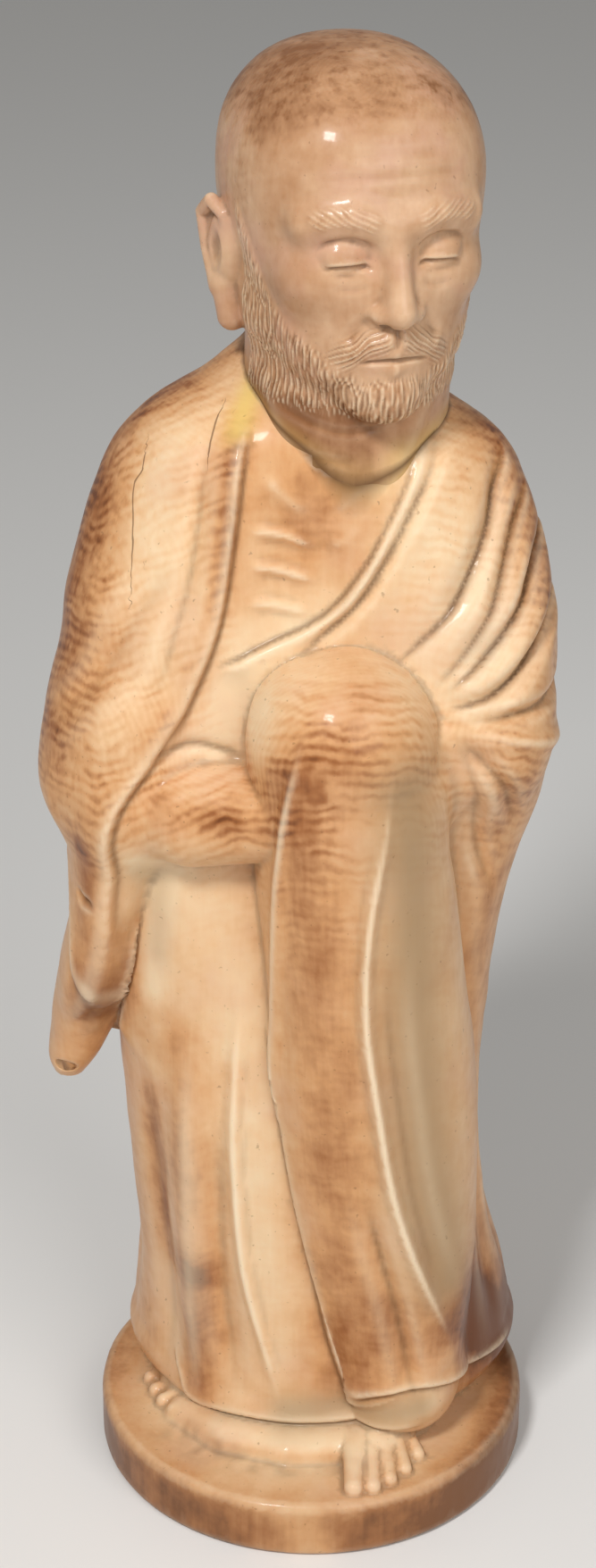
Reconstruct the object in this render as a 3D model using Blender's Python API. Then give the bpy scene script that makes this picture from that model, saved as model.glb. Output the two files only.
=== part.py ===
# Ivory carving of a robed, bearded monk hunched over one raised knee, on a low round plinth.
# Two pieces: the robed body with its plinth, and the head with the neck let into the collar.

import math

import bmesh
import bpy
import numpy as np
from mathutils import Matrix, Vector

# Driving dimensions, in metres
FIGURE_HEIGHT = 0.1915       # crown of the head above the plinth's top
PLINTH_DIAMETER = 0.0600
PLINTH_THICKNESS = 0.0085
PLINTH_TOP_ROUND = 0.0013
PLINTH_FOOT_ROUND = 0.0005
NECK_DIAMETER = 0.0236       # foot of the neck, where it sits in the collar
NECK_JOINT_GAP = 0.0003      # glue line between the neck and its seat

# Fineness of the carved surfaces
BODY_GRAIN = 0.0009          # voxel size of the fused blank
HEAD_GRAIN = 0.0007
BODY_TRIANGLES = 5200
HEAD_TRIANGLES = 2900
PLINTH_SIDES = 64
FEET_WEIGHT = 0.5            # how readily small forms lose facets, against 1 elsewhere
FACE_WEIGHT = 0.85

# The carving is laid out in shares of the figure's height. Heights in shares are counted so
# that the plinth's top lies at FOOT_LEVEL.
SHARE = FIGURE_HEIGHT / 191.5
FOOT_LEVEL = 8.5
AXIS = np.array([0.0, 4.0])  # upright line that bearings of folds are taken from

# Lofts: height, left, right, front, back, and how far the section widens towards the back
TRUNK = [
    (5.0, -24.0, 26.0, -14.6, 24.0, 0.20),
    (9.6, -24.2, 26.2, -14.8, 24.2, 0.20),
    (11.0, -25.2, 28.0, -16.0, 25.0, 0.20),
    (16.0, -24.9, 28.0, -16.3, 25.2, 0.19),
    (23.0, -24.5, 27.0, -16.6, 25.2, 0.17),
    (30.0, -24.3, 25.4, -17.0, 25.0, 0.13),
    (43.0, -25.0, 23.7, -17.6, 25.0, 0.06),
    (66.0, -26.2, 23.4, -18.2, 25.0, 0.0),
    (84.0, -27.3, 25.1, -17.8, 24.8, 0.0),
    (92.0, -28.6, 26.9, -17.2, 24.6, 0.0),
    (102.0, -30.6, 30.1, -16.4, 24.2, 0.0),
    (115.0, -31.6, 30.6, -15.2, 23.6, 0.0),
    (130.0, -29.8, 28.8, -14.2, 22.0, 0.0),
    (142.0, -26.9, 25.8, -13.4, 19.6, 0.0),
    (148.0, -24.0, 22.4, -12.6, 18.0, 0.0),
    (152.0, -20.0, 17.6, -11.2, 16.2, 0.0),
    (156.0, -13.8, 12.0, -7.8, 14.2, 0.0),
    (159.0, -9.6, 9.0, -3.6, 13.4, 0.0),
    (161.5, -6.4, 7.4, 1.0, 12.8, 0.0),
    (163.0, -2.0, 4.0, 5.0, 10.6, 0.0),
]
KNEE_AND_LEG = [
    (5.0, 5.0, 18.0, -15.6, 2.0, 0.0),
    (9.6, 5.0, 18.0, -15.8, 2.0, 0.0),
    (11.5, 4.4, 19.4, -17.8, 3.0, 0.0),
    (22.0, 2.0, 21.0, -19.4, 4.0, 0.0),
    (35.0, -1.2, 22.0, -21.4, 3.0, 0.0),
    (48.0, -3.4, 22.0, -23.4, 3.0, 0.0),
    (66.0, -5.3, 21.4, -25.6, 3.0, 0.0),
    (84.0, -6.5, 19.4, -27.0, 2.0, 0.0),
    (100.0, -7.4, 17.6, -27.8, 1.0, 0.0),
    (112.0, -7.0, 15.2, -27.4, -4.0, 0.0),
    (119.0, -3.5, 11.0, -23.5, -8.0, 0.0),
    (121.0, 1.0, 6.0, -18.0, -12.0, 0.0),
]
SLEEVE_TAIL = [
    (58.2, -35.0, -31.0, -1.0, 4.0, 0.0),
    (60.0, -35.6, -29.8, -2.4, 5.6, 0.0),
    (66.0, -35.2, -26.6, -5.0, 9.0, 0.0),
    (76.0, -33.6, -23.4, -9.0, 12.0, 0.0),
    (86.0, -31.2, -21.0, -12.4, 14.0, 0.0),
    (98.0, -31.2, -17.0, -15.0, 15.0, 0.0),
    (110.0, -33.6, -14.0, -16.0, 15.0, 0.0),
    (120.0, -31.6, -14.0, -15.0, 14.0, 0.0),
    (126.0, -28.0, -18.0, -8.0, 8.0, 0.0),
]

# Limbs: points along each one with the radius there (x, y, z, radius)
RIGHT_UPPER_ARM = [(-12.5, 1.0, 142.0, 11.0), (-18.4, -3.0, 127.0, 12.0), (-20.5, -4.8, 113.0, 11.4)]
LEFT_UPPER_ARM = [(14.5, 1.0, 141.0, 9.5), (18.4, -4.0, 127.0, 10.8), (19.4, -7.4, 113.0, 10.6)]
SLEEVE_MOUTH = [(-24.0, -5.0, 106.0, 10.4), (-21.0, -9.4, 105.0, 9.0)]
RIGHT_FOREARM = [(-24.0, -8.0, 104.6, 7.0), (-15.0, -14.4, 104.8, 6.9), (-3.0, -18.6, 106.5, 5.8)]
KNEE = [(3.6, -16.2, 115.0, 11.9), (4.2, -15.6, 104.0, 12.0), (5.6, -12.8, 84.0, 11.8)]
LEFT_FOOT = [(8.0, -12.0, 9.6, 4.4), (9.0, -17.6, 8.8, 3.5)]
RIGHT_FOOT = [(-14.0, -3.0, 9.0, 3.8), (-18.8, -6.0, 7.9, 2.6)]
UNDER_ROBE = [
    (-17.6, -9.4, 7.2, 3.4),
    (-11.6, -14.8, 7.3, 4.0),
    (-3.0, -17.4, 7.4, 4.2),
    (5.0, -17.0, 8.0, 4.0),
]
# Toes: root, tip, and the radius of the tip; each one lies with its sole in the plinth's top
LEFT_TOES = [
    ((6.2, -18.0), (5.6, -26.6), 1.3),
    ((8.0, -17.6), (8.2, -26.2), 1.15),
    ((9.6, -16.8), (10.5, -24.7), 1.1),
    ((11.0, -15.6), (12.6, -22.5), 1.05),
    ((12.0, -13.8), (14.5, -19.4), 1.0),
]
RIGHT_TOES = [
    ((-17.5, -0.8), (-22.9, -2.4), 1.0),
    ((-16.8, -3.4), (-22.0, -5.2), 1.05),
    ((-15.6, -5.6), (-20.8, -7.7), 1.1),
    ((-14.2, -7.6), (-19.2, -9.9), 1.1),
]

# Folds and cloth edges: kind, height, width, and a path of (bearing in degrees, height). Bearing
# 0 is the front and grows to the figure's left. An edge stands proud on its path's right hand.
FRONT_FOLDS = [
    ("edge", 1.5, 7.0, [(-29, 155), (-28, 148), (-29, 140), (-32, 130), (-37, 122), (-43, 113), (-48, 105),
                        (-53, 96), (-58, 85), (-66, 75), (-74, 68)]),
    ("groove", 0.7, 1.3, [(-42, 153), (-40, 146), (-40, 136), (-42, 127), (-46, 117)]),
    ("groove", 0.8, 2.6, [(-44, 138), (-50, 130), (-57, 121), (-68, 114)]),
    ("edge", 1.5, 5.0, [(-34, 123.5), (-20, 126.5), (4, 130.5), (18, 136), (27, 141), (39, 148.5),
                        (50, 155)]),
    ("groove", 1.1, 1.1, [(-8, 125), (0, 127.3), (13, 131), (23, 135.5), (34, 142.5), (46, 149),
                          (60, 154)]),
    ("groove", 1.9, 1.6, [(80, 149), (67, 145.5), (60, 141.5), (51, 136.5), (40, 130), (27, 123.5)]),
    ("groove", 1.6, 1.7, [(82, 144), (67, 140), (56, 134), (46, 127.5), (36, 121.5)]),
    ("groove", 1.9, 1.5, [(92, 138), (74, 135.5), (62, 131.5), (50, 126.5), (37, 120.6)]),
    ("groove", 1.9, 1.4, [(92, 129.5), (74, 128.5), (60, 124.5), (48, 121), (37, 119)]),
    ("groove", 1.2, 1.2, [(90, 119), (70, 118), (52, 118.4), (39, 118.2)]),
    ("ridge", 0.7, 1.3, [(84, 111), (66, 112.5), (52, 115), (40, 117)]),
    ("groove", 1.1, 1.3, [(39, 117), (44, 112.5), (54, 106), (68, 99)]),
    ("groove", 0.9, 1.5, [(38, 117.5), (41, 112), (47, 105), (56, 96), (66, 88)]),
    ("groove", 1.2, 2.2, [(33, 119), (37, 112), (44, 101), (50, 89), (56, 77), (68, 62)]),
    ("ridge", 0.9, 1.2, [(-2, 121), (-5, 113), (-8, 102), (-10, 88), (-11, 70), (-8, 56)]),
    ("ridge", 1.1, 1.2, [(18, 119), (15, 107), (12, 95), (12, 82), (15, 70), (20, 55), (27, 43),
                         (36, 32), (44, 24)]),
    ("groove", 1.1, 2.2, [(17, 95), (17, 82), (20, 69), (25, 54), (32, 42), (41, 31)]),
    ("groove", 1.2, 1.6, [(13, 56), (17, 46), (23, 35), (28, 25), (33, 15)]),
    ("ridge", 1.0, 1.5, [(-23, 84), (-25, 68), (-26, 52), (-24, 37), (-17, 23), (-11, 13)]),
    ("edge", 1.2, 5.0, [(16, 15), (13, 18), (6, 27), (0, 39), (-6, 51), (-11, 64), (-16, 80)]),
    ("edge", 1.1, 4.0, [(92, 13), (72, 14.5), (56, 16.5), (44, 18.6), (36, 19.8), (28, 20), (20, 19),
                        (15, 17)]),
    ("groove", 1.0, 2.2, [(-31, 62), (-32, 46), (-33, 28), (-30, 13)]),
    ("ridge", 1.6, 3.0, [(-39, 76), (-41, 54), (-45, 30), (-49, 7)]),
    ("groove", 1.2, 3.0, [(-56, 66), (-60, 44), (-63, 26), (-66, 9)]),
    ("edge", 0.9, 4.0, [(-73, 66), (-66, 76), (-70, 88), (-80, 97)]),
]
BACK_FOLDS = [
    ("groove", 1.1, 3.2, [(98, 150), (128, 141), (160, 128), (196, 112), (228, 100)]),
    ("groove", 1.1, 3.2, [(104, 138), (132, 127), (164, 113), (200, 97), (236, 86)]),
    ("groove", 1.0, 3.4, [(108, 124), (136, 112), (168, 97), (204, 82)]),
    ("groove", 0.9, 3.0, [(142, 151), (170, 142), (200, 130), (232, 118)]),
    ("groove", 0.9, 3.4, [(104, 108), (128, 96), (152, 82)]),
]
SKIRT_PLEATS = [78, 102, 124, 149, 171, 193, 215, 240, 262]
RIB_HEIGHTS = [144.6, 140.2, 135.8, 131.6]
CHEST_HOLLOW = (-6.0, 136.5, 17.0, 10.5, 1.2)  # bearing, height, half width, half height, depth
EDGE_SHARPNESS = 0.45        # half width of the step at a cloth edge
HEM_LEVEL = 10.4             # lowest height that folds reach
FOLD_MARGIN = 15.0           # degrees beyond a fold's path that it is worked out for

# Neck: a turned foot let into the collar, leaning back as it rises
NECK_FOOT = (3.4, -0.2, 140.0)
NECK_TOP = (4.4, 0.0, 167.0)
NECK_ROUND = 1.8             # rounding of the foot's lower edge
NECK_SIDES = 40

# Head, laid out about its own centre: x to its left, y to its back
HEAD_CENTRE = (4.6, -1.5, 177.6)
HEAD_TURN = math.radians(17.0)
HEAD_NOD = math.radians(7.0)
SKULL = [
    ((0.0, 2.2, 4.2), (15.2, 17.6, 15.2), 1.0),
    ((0.0, 5.0, -2.6), (13.2, 13.0, 13.4), 3.0),
    ((0.0, -4.0, -5.5), (12.8, 13.2, 14.3), 3.0),
    ((0.0, -6.6, -12.6), (10.6, 10.0, 8.0), 3.0),
]
# Paired forms are given for the figure's left side and mirrored
PAIRED_BALLS = [
    ((7.4, -10.4, -3.8), (4.4, 4.0, 3.4), 3.0),
    ((14.4, 3.2, -4.6), (2.2, 3.2, 5.0), 1.0),
    ((9.6, -1.0, -11.0), (3.8, 5.4, 5.0), 3.0),
]
PAIRED_LIMBS = [
    ([(9.6, -11.8, 3.2, 1.6), (5.0, -14.7, 4.4, 1.5), (0.0, -15.4, 3.4, 1.4)], 2.6),
    ([(15.2, 0.6, -4.2, 0.8), (16.0, 1.0, -0.8, 1.0), (16.6, 3.6, 0.4, 1.0), (16.6, 5.8, -1.6, 1.0),
      (16.0, 5.2, -6.0, 0.9), (15.2, 3.4, -9.6, 1.3)], 0.5),
    ([(14.6, 3.0, -9.4, 1.8), (13.8, 2.4, -13.4, 1.9)], 0.8),
    ([(0.8, -17.2, -9.4, 1.1), (4.4, -15.6, -10.8, 1.2), (6.2, -13.8, -14.2, 1.1)], 1.0),
]
NOSE = [(0.0, -15.6, 2.4, 1.2), (0.0, -17.2, -2.2, 1.5), (0.0, -18.4, -5.8, 1.9)]
BEARD = [(0.0, -11.6, -13.4, 6.4), (0.0, -13.4, -16.8, 4.6)]
NOSTRIL = ((2.0, -16.8, -6.3), (1.4, 1.9, 1.2), 0.8)
EYE_SOCKET = ((5.6, -17.2, 0.2), (3.4, 2.4, 2.2), 2.0)
EYE = ((5.5, -13.6, -0.2), (3.0, 2.3, 2.2), 0.5)
UPPER_LIP = [(-3.0, -16.3, -11.3, 0.7), (0.0, -17.4, -11.0, 0.9), (3.0, -16.3, -11.3, 0.7)]
LOWER_LIP = [(-2.4, -16.2, -12.8, 0.8), (0.0, -17.1, -13.1, 1.1), (2.4, -16.2, -12.8, 0.8)]


def remove_all():
    for item in list(bpy.data.objects):
        bpy.data.objects.remove(item, do_unlink=True)


def profile(height, rows, column):
    """Smooth curve through one column of a loft's rows."""
    knots = np.array([row[0] for row in rows])
    values = np.array([row[column] for row in rows])
    slopes = np.gradient(values, knots)
    at = np.clip(height, knots[0], knots[-1])
    i = np.clip(np.searchsorted(knots, at, side="right") - 1, 0, len(knots) - 2)
    span = knots[i + 1] - knots[i]
    t = (at - knots[i]) / span
    t2, t3 = t * t, t * t * t
    return (
        values[i] * (2 * t3 - 3 * t2 + 1)
        + values[i + 1] * (3 * t2 - 2 * t3)
        + slopes[i] * span * (t3 - 2 * t2 + t)
        + slopes[i + 1] * span * (t3 - t2)
    )


def loft_distance(p, rows, power=2.25):
    """Distance from a stack of rounded sections, negative inside."""
    z = p[:, 2]
    left, right = profile(z, rows, 1), profile(z, rows, 2)
    front, back = profile(z, rows, 3), profile(z, rows, 4)
    x = p[:, 0] - (left + right) / 2
    y = p[:, 1] - (front + back) / 2
    wide = np.maximum((right - left) / 2, 0.1)
    deep = np.maximum((back - front) / 2, 0.1)
    wide = wide * (1 + profile(z, rows, 5) * np.clip(y / deep, -1, 1))
    far = np.hypot(x, y) + 1e-9
    share = (np.abs(x / wide) ** power + np.abs(y / deep) ** power) ** (1 / power)
    side = far - far / np.maximum(share, 1e-6)
    ends = np.maximum(rows[0][0] - z, z - rows[-1][0])
    return np.maximum(side, ends)


def limb_distance(p, points):
    """Distance from a chain of tapered round limbs."""
    nearest = np.full(len(p), 1e9)
    for start, end in zip(points, points[1:]):
        a, b = np.array(start[:3]), np.array(end[:3])
        along = b - a
        t = np.clip((p - a) @ along / (along @ along), 0, 1)
        radius = start[3] + (end[3] - start[3]) * t
        gap = np.linalg.norm(p - a - t[:, None] * along, axis=1) - radius
        nearest = np.minimum(nearest, gap)
    return nearest


def ball_distance(p, centre, radii):
    q = (p - np.array(centre)) / np.array(radii)
    size = np.linalg.norm(q, axis=1) + 1e-9
    steep = np.linalg.norm(q / np.array(radii), axis=1) + 1e-9
    return size * (size - 1) / steep


def cranium_distance(p, centre, radii, power=2.3):
    """Like a ball, with slightly squarer shoulders."""
    q = np.abs((p - np.array(centre)) / np.array(radii))
    far = np.linalg.norm(p - np.array(centre), axis=1) + 1e-9
    share = (q ** power).sum(axis=1) ** (1 / power)
    return far - far / np.maximum(share, 1e-6)


def join(a, b, blend):
    """Union of two distances with a rounded inner corner."""
    h = np.clip(0.5 + 0.5 * (a - b) / blend, 0, 1)
    return a * (1 - h) + b * h - blend * h * (1 - h)


def smooth_path(points, steps=3):
    """Catmull-Rom points through a fold's path."""
    q = np.array(points, dtype=float)
    q = np.vstack([2 * q[0] - q[1], q, 2 * q[-1] - q[-2]])
    out = []
    for a, b, c, d in zip(q, q[1:], q[2:], q[3:]):
        for t in np.arange(steps) / steps:
            linear = 2 * b + (c - a) * t
            curved = (2 * a - 5 * b + 4 * c - d) * t ** 2 + (3 * b - a - 3 * c + d) * t ** 3
            out.append(0.5 * (linear + curved))
    return np.array(out + [q[-2]])


def along_path(u, v, path_u, path_v):
    """Distance to a path, positive on its right hand, and the share of its length there."""
    best = np.full(len(u), 1e9)
    side, share = np.zeros(len(u)), np.zeros(len(u))
    count = len(path_v) - 1
    for i in range(count):
        du, dv = path_u[i + 1] - path_u[i], path_v[i + 1] - path_v[i]
        across, up = u - path_u[i], v - path_v[i]
        t = np.clip((across * du + up * dv) / (du * du + dv * dv + 1e-9), 0, 1)
        gap = np.hypot(across - t * du, up - t * dv)
        closer = gap < best
        best = np.where(closer, gap, best)
        side = np.where(closer, dv * across - du * up, side)
        share = np.where(closer, (i + t) / count, share)
    return best * np.sign(side), share


def fold_relief(bearing, z, reach, fold):
    """Height of one fold over points given by bearing, height and distance from the axis."""
    kind, height, width, points = fold
    path = smooth_path(points)
    middle = path[:, 0].mean()
    around = (bearing - middle + 180) % 360 - 180
    margin = width * 3
    half = np.abs(path[:, 0] - middle).max() + FOLD_MARGIN
    near = (np.abs(around) < half) & (z > path[:, 1].min() - margin) & (z < path[:, 1].max() + margin)
    out = np.zeros(len(z))
    if not near.any():
        return out
    scale = np.radians(reach[near])
    path_u = [(b - middle) * scale for b in path[:, 0]]
    distance, share = along_path(around[near] * scale, z[near], path_u, path[:, 1])
    fade = np.clip(np.minimum(share, 1 - share) / (0.12 if kind == "edge" else 0.3), 0, 1)
    fade = fade * fade * (3 - 2 * fade)
    if kind == "edge":
        step = 0.5 * (1 + np.tanh(distance / EDGE_SHARPNESS))
        rise = step * np.exp(-np.maximum(distance, 0) / width)
    else:
        rise = np.exp(-((distance / width) ** 2)) * (1 if kind == "ridge" else -1)
    out[near] = height * rise * fade
    return out


def body_folds():
    pleats = [
        ("groove", 1.1, 2.8, [(b, 72 - 6 * (k % 2)), (b + 3 * (-1) ** k, 44), (b - 1, 12)])
        for k, b in enumerate(SKIRT_PLEATS)
    ]
    ribs = [("groove", 0.35, 0.9, [(-22, h - 1.0), (-11, h + 0.5), (2, h - 0.6)]) for h in RIB_HEIGHTS]
    return FRONT_FOLDS + BACK_FOLDS + pleats + ribs


def body_relief(p):
    x, y, z = p.T
    bearing = np.degrees(np.arctan2(x - AXIS[0], AXIS[1] - y))
    reach = np.hypot(x - AXIS[0], y - AXIS[1])
    rise = np.zeros(len(p))
    for fold in body_folds():
        rise += fold_relief(bearing, z, reach, fold)
    middle, height, half_wide, half_high, depth = CHEST_HOLLOW
    rise -= depth * np.exp(-(((bearing - middle) / half_wide) ** 4) - ((z - height) / half_high) ** 4)
    return rise * np.clip((z - HEM_LEVEL + 0.6) / 1.2, 0, 1)


def no_relief(p):
    return np.zeros(len(p))


def toe_limb(toe):
    """Root, knuckle and tip, lower and thinner towards the tip."""
    (x0, y0), (x1, y1), radius = toe
    root = (x0, y0, FOOT_LEVEL + 1.2 * radius, 1.8 * radius)
    knuckle = ((x0 + x1) / 2, (y0 + y1) / 2, FOOT_LEVEL + 0.7 * radius, 1.25 * radius)
    return [root, knuckle, (x1, y1, FOOT_LEVEL + 0.5 * radius, radius)]


def body_limbs():
    """Every limb of the body with the radius of its blend."""
    limbs = [(RIGHT_UPPER_ARM, 5.0), (LEFT_UPPER_ARM, 6.0), (SLEEVE_MOUTH, 3.0)]
    limbs += [(RIGHT_FOREARM, 0.8), (KNEE, 0.8), (LEFT_FOOT, 1.0), (RIGHT_FOOT, 1.0)]
    limbs += [(UNDER_ROBE, 0.8)]
    limbs += [(toe_limb(toe), 0.35) for toe in LEFT_TOES + RIGHT_TOES]
    return limbs


def body_distance(p):
    d = loft_distance(p, TRUNK)
    d = join(d, loft_distance(p, SLEEVE_TAIL), 1.5)
    d = join(d, loft_distance(p, KNEE_AND_LEG), 0.9)
    for limb, blend in body_limbs():
        d = join(d, limb_distance(p, limb), blend)
    return d


def head_turn():
    return Matrix.Rotation(HEAD_TURN, 3, "Z") @ Matrix.Rotation(HEAD_NOD, 3, "X")


def to_head(p):
    """Points of the figure in the head's own layout."""
    return (p - np.array(HEAD_CENTRE)) @ np.array(head_turn())


def head_distance(p):
    q = to_head(p)
    folded = q.copy()
    folded[:, 0] = np.abs(q[:, 0])
    d = cranium_distance(q, *SKULL[0][:2])
    for centre, radii, blend in SKULL[1:]:
        d = join(d, ball_distance(q, centre, radii), blend)
    for centre, radii, blend in PAIRED_BALLS:
        d = join(d, ball_distance(folded, centre, radii), blend)
    centre, radii, blend = EYE_SOCKET
    d = -join(-d, ball_distance(folded, centre, radii), blend)
    for points, blend in PAIRED_LIMBS:
        d = join(d, limb_distance(folded, points), blend)
    for centre, radii, blend in (NOSTRIL, EYE):
        d = join(d, ball_distance(folded, centre, radii), blend)
    for points, blend in ((NOSE, 1.2), (BEARD, 2.5), (UPPER_LIP, 0.5), (LOWER_LIP, 0.5)):
        d = join(d, limb_distance(q, points), blend)
    return d


def link(name, bm):
    mesh = bpy.data.meshes.new(name)
    bm.to_mesh(mesh)
    bm.free()
    item = bpy.data.objects.new(name, mesh)
    bpy.context.collection.objects.link(item)
    return item


def skin_rings(bm, rings):
    """Closed skin over a stack of rings that run the same way round, lowest first."""
    last = None
    for points in rings:
        ring = [bm.verts.new(point) for point in points]
        count = len(ring)
        if last is None:
            bm.faces.new(list(reversed(ring)))
        else:
            for k in range(count):
                n = (k + 1) % count
                bm.faces.new((last[k], last[n], ring[n], ring[k]))
        last = ring
    bm.faces.new(last)


def oval(x, y, z, wide, deep, sides):
    turns = [2 * math.pi * k / sides for k in range(sides)]
    return [(x + wide * math.cos(t), y + deep * math.sin(t), z) for t in turns]


def turned(name, outline, sides, place):
    """Round solid turned from an outline of (radius, height)."""
    bm = bmesh.new()
    skin_rings(bm, [oval(0, 0, height, radius, radius, sides) for radius, height in outline])
    bmesh.ops.transform(bm, matrix=place, verts=bm.verts)
    return link(name, bm)


def make_neck(name, clearance):
    """Turned neck foot; with a clearance it is the cutter of its seat."""
    radius = NECK_DIAMETER / SHARE / 2 + clearance
    axis = Vector(NECK_TOP) - Vector(NECK_FOOT)
    outline = [
        (radius - NECK_ROUND * (1 - math.sin(a)), NECK_ROUND * (1 - math.cos(a)) - clearance)
        for a in (0.0, math.pi / 6, math.pi / 3, math.pi / 2)
    ]
    outline += [(radius, axis.length * 0.5), (radius * 0.96, axis.length * 0.75)]
    outline += [(radius * 0.94, axis.length)]
    place = axis.to_track_quat("Z", "Y").to_matrix().to_4x4()
    place.translation = NECK_FOOT
    neck = turned(name, outline, NECK_SIDES, place)
    to_size(neck)
    return neck


def make_plinth(name):
    radius = PLINTH_DIAMETER / 2
    steps = [math.radians(a) for a in (0, 45, 90)]
    outline = [
        (radius - PLINTH_FOOT_ROUND * (1 - math.sin(a)), PLINTH_FOOT_ROUND * (1 - math.cos(a)))
        for a in steps
    ]
    top = PLINTH_THICKNESS - PLINTH_TOP_ROUND
    outline += [
        (radius - PLINTH_TOP_ROUND * (1 - math.cos(a)), top + PLINTH_TOP_ROUND * math.sin(a))
        for a in steps
    ]
    return turned(name, outline, PLINTH_SIDES, Matrix())


def add_loft_blank(bm, rows, rings=40, sides=28):
    stack = []
    for z in np.linspace(rows[0][0], rows[-1][0], rings):
        left, right, front, back = (profile(z, rows, column) for column in (1, 2, 3, 4))
        wide, deep = (right - left) / 2, (back - front) / 2
        stack.append(oval((left + right) / 2, (front + back) / 2, z, wide, deep, sides))
    skin_rings(bm, stack)


def add_limb_blank(bm, points, steps=6):
    for start, end in zip(points, points[1:]):
        for k in range(steps + 1):
            x, y, z, radius = (a + (b - a) * k / steps for a, b in zip(start, end))
            place = Matrix.Translation((x, y, z))
            bmesh.ops.create_icosphere(bm, subdivisions=2, radius=radius, matrix=place)


def add_ball_blank(bm, centre, radii):
    place = Matrix.Translation(centre) @ Matrix.Diagonal((*radii, 1.0))
    bmesh.ops.create_icosphere(bm, subdivisions=4, radius=1.0, matrix=place)


def apply_modifiers(item):
    graph = bpy.context.evaluated_depsgraph_get()
    mesh = bpy.data.meshes.new_from_object(item.evaluated_get(graph))
    item.modifiers.clear()
    item.data = mesh


def fuse(item, grain):
    """Fuses the blank's overlapping forms into one closed skin."""
    remesh = item.modifiers.new("fused blank", "REMESH")
    remesh.mode = "VOXEL"
    remesh.voxel_size = grain
    remesh.use_smooth_shade = True
    apply_modifiers(item)


def read_points(mesh):
    flat = np.empty(len(mesh.vertices) * 3, dtype=np.float32)
    mesh.vertices.foreach_get("co", flat)
    return flat.reshape(-1, 3).astype(float)


def write_points(mesh, points):
    mesh.vertices.foreach_set("co", points.astype(np.float32).ravel())
    mesh.update()


def slope(distance, p, here, step=0.05):
    out = np.empty_like(p)
    for axis in range(3):
        moved = p.copy()
        moved[:, axis] += step
        out[:, axis] = (distance(moved) - here) / step
    return out


def relax(p, edges, amount):
    """Moves each point towards the middle of its neighbours."""
    total = np.zeros_like(p)
    count = np.zeros(len(p))
    for a, b in ((0, 1), (1, 0)):
        np.add.at(total, edges[:, a], p[edges[:, b]])
        np.add.at(count, edges[:, a], 1)
    return p + amount * (total / count[:, None] - p)


def carve(item, distance, relief, passes=6):
    """Draws the blank's points onto the carved form, then raises the relief."""
    mesh = item.data
    edges = np.empty(len(mesh.edges) * 2, dtype=np.int32)
    mesh.edges.foreach_get("vertices", edges)
    edges = edges.reshape(-1, 2)
    p = read_points(mesh)
    for turn in range(passes):
        if turn < passes - 2:
            p = relax(p, edges, 0.35)
        here = distance(p)
        lean = slope(distance, p, here)
        steep = np.maximum((lean ** 2).sum(axis=1), 0.2)
        move = np.clip(here / steep, -1.5, 1.5)
        p = p - move[:, None] * lean
    lean = slope(distance, p, distance(p))
    lean /= np.linalg.norm(lean, axis=1)[:, None] + 1e-9
    write_points(mesh, p + relief(p)[:, None] * lean)


def to_size(item):
    """Shares to metres, with the carving's foot level on the plinth's top."""
    lift = PLINTH_THICKNESS - FOOT_LEVEL * SHARE
    item.data.transform(Matrix.Translation((0, 0, lift)) @ Matrix.Scale(SHARE, 4))


def thin(item, triangles, fine, weight):
    """Thins the facets to a budget, more gently over the fine forms."""
    group = item.vertex_groups.new(name="facets")
    group.add([int(i) for i in np.flatnonzero(fine)], weight, "REPLACE")
    group.add([int(i) for i in np.flatnonzero(~fine)], 1.0, "REPLACE")
    item.data.calc_loop_triangles()
    decimate = item.modifiers.new("facets", "DECIMATE")
    decimate.ratio = min(1.0, triangles / len(item.data.loop_triangles))
    decimate.vertex_group = group.name
    apply_modifiers(item)


def combine(item, other, operation):
    boolean = item.modifiers.new(other.name, "BOOLEAN")
    boolean.operation = operation
    boolean.object = other
    boolean.solver = "EXACT"
    other.hide_render = True
    other.display_type = "WIRE"


def ivory(name, colour):
    """Polished, stained ivory."""
    material = bpy.data.materials.new(name)
    material.use_nodes = True
    shader = material.node_tree.nodes["Principled BSDF"]
    shader.inputs["Base Color"].default_value = (*colour, 1.0)
    shader.inputs["Roughness"].default_value = 0.3
    shader.inputs["Metallic"].default_value = 0.0
    return material


def make_body():
    bm = bmesh.new()
    for rows in (TRUNK, SLEEVE_TAIL, KNEE_AND_LEG):
        add_loft_blank(bm, rows)
    for limb, _ in body_limbs():
        add_limb_blank(bm, limb)
    body = link("robed_body", bm)
    fuse(body, BODY_GRAIN / SHARE)
    carve(body, body_distance, body_relief)
    x, y, z = read_points(body.data).T
    feet = (z > FOOT_LEVEL - 0.3) & (z < FOOT_LEVEL + 3.2) & (y < 1.0)
    to_size(body)
    thin(body, BODY_TRIANGLES, feet, FEET_WEIGHT)
    combine(body, make_plinth("plinth_disc"), "UNION")
    combine(body, make_neck("neck_seat", NECK_JOINT_GAP / SHARE), "DIFFERENCE")
    body.data.materials.append(ivory("stained_ivory", (0.72, 0.45, 0.22)))


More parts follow.
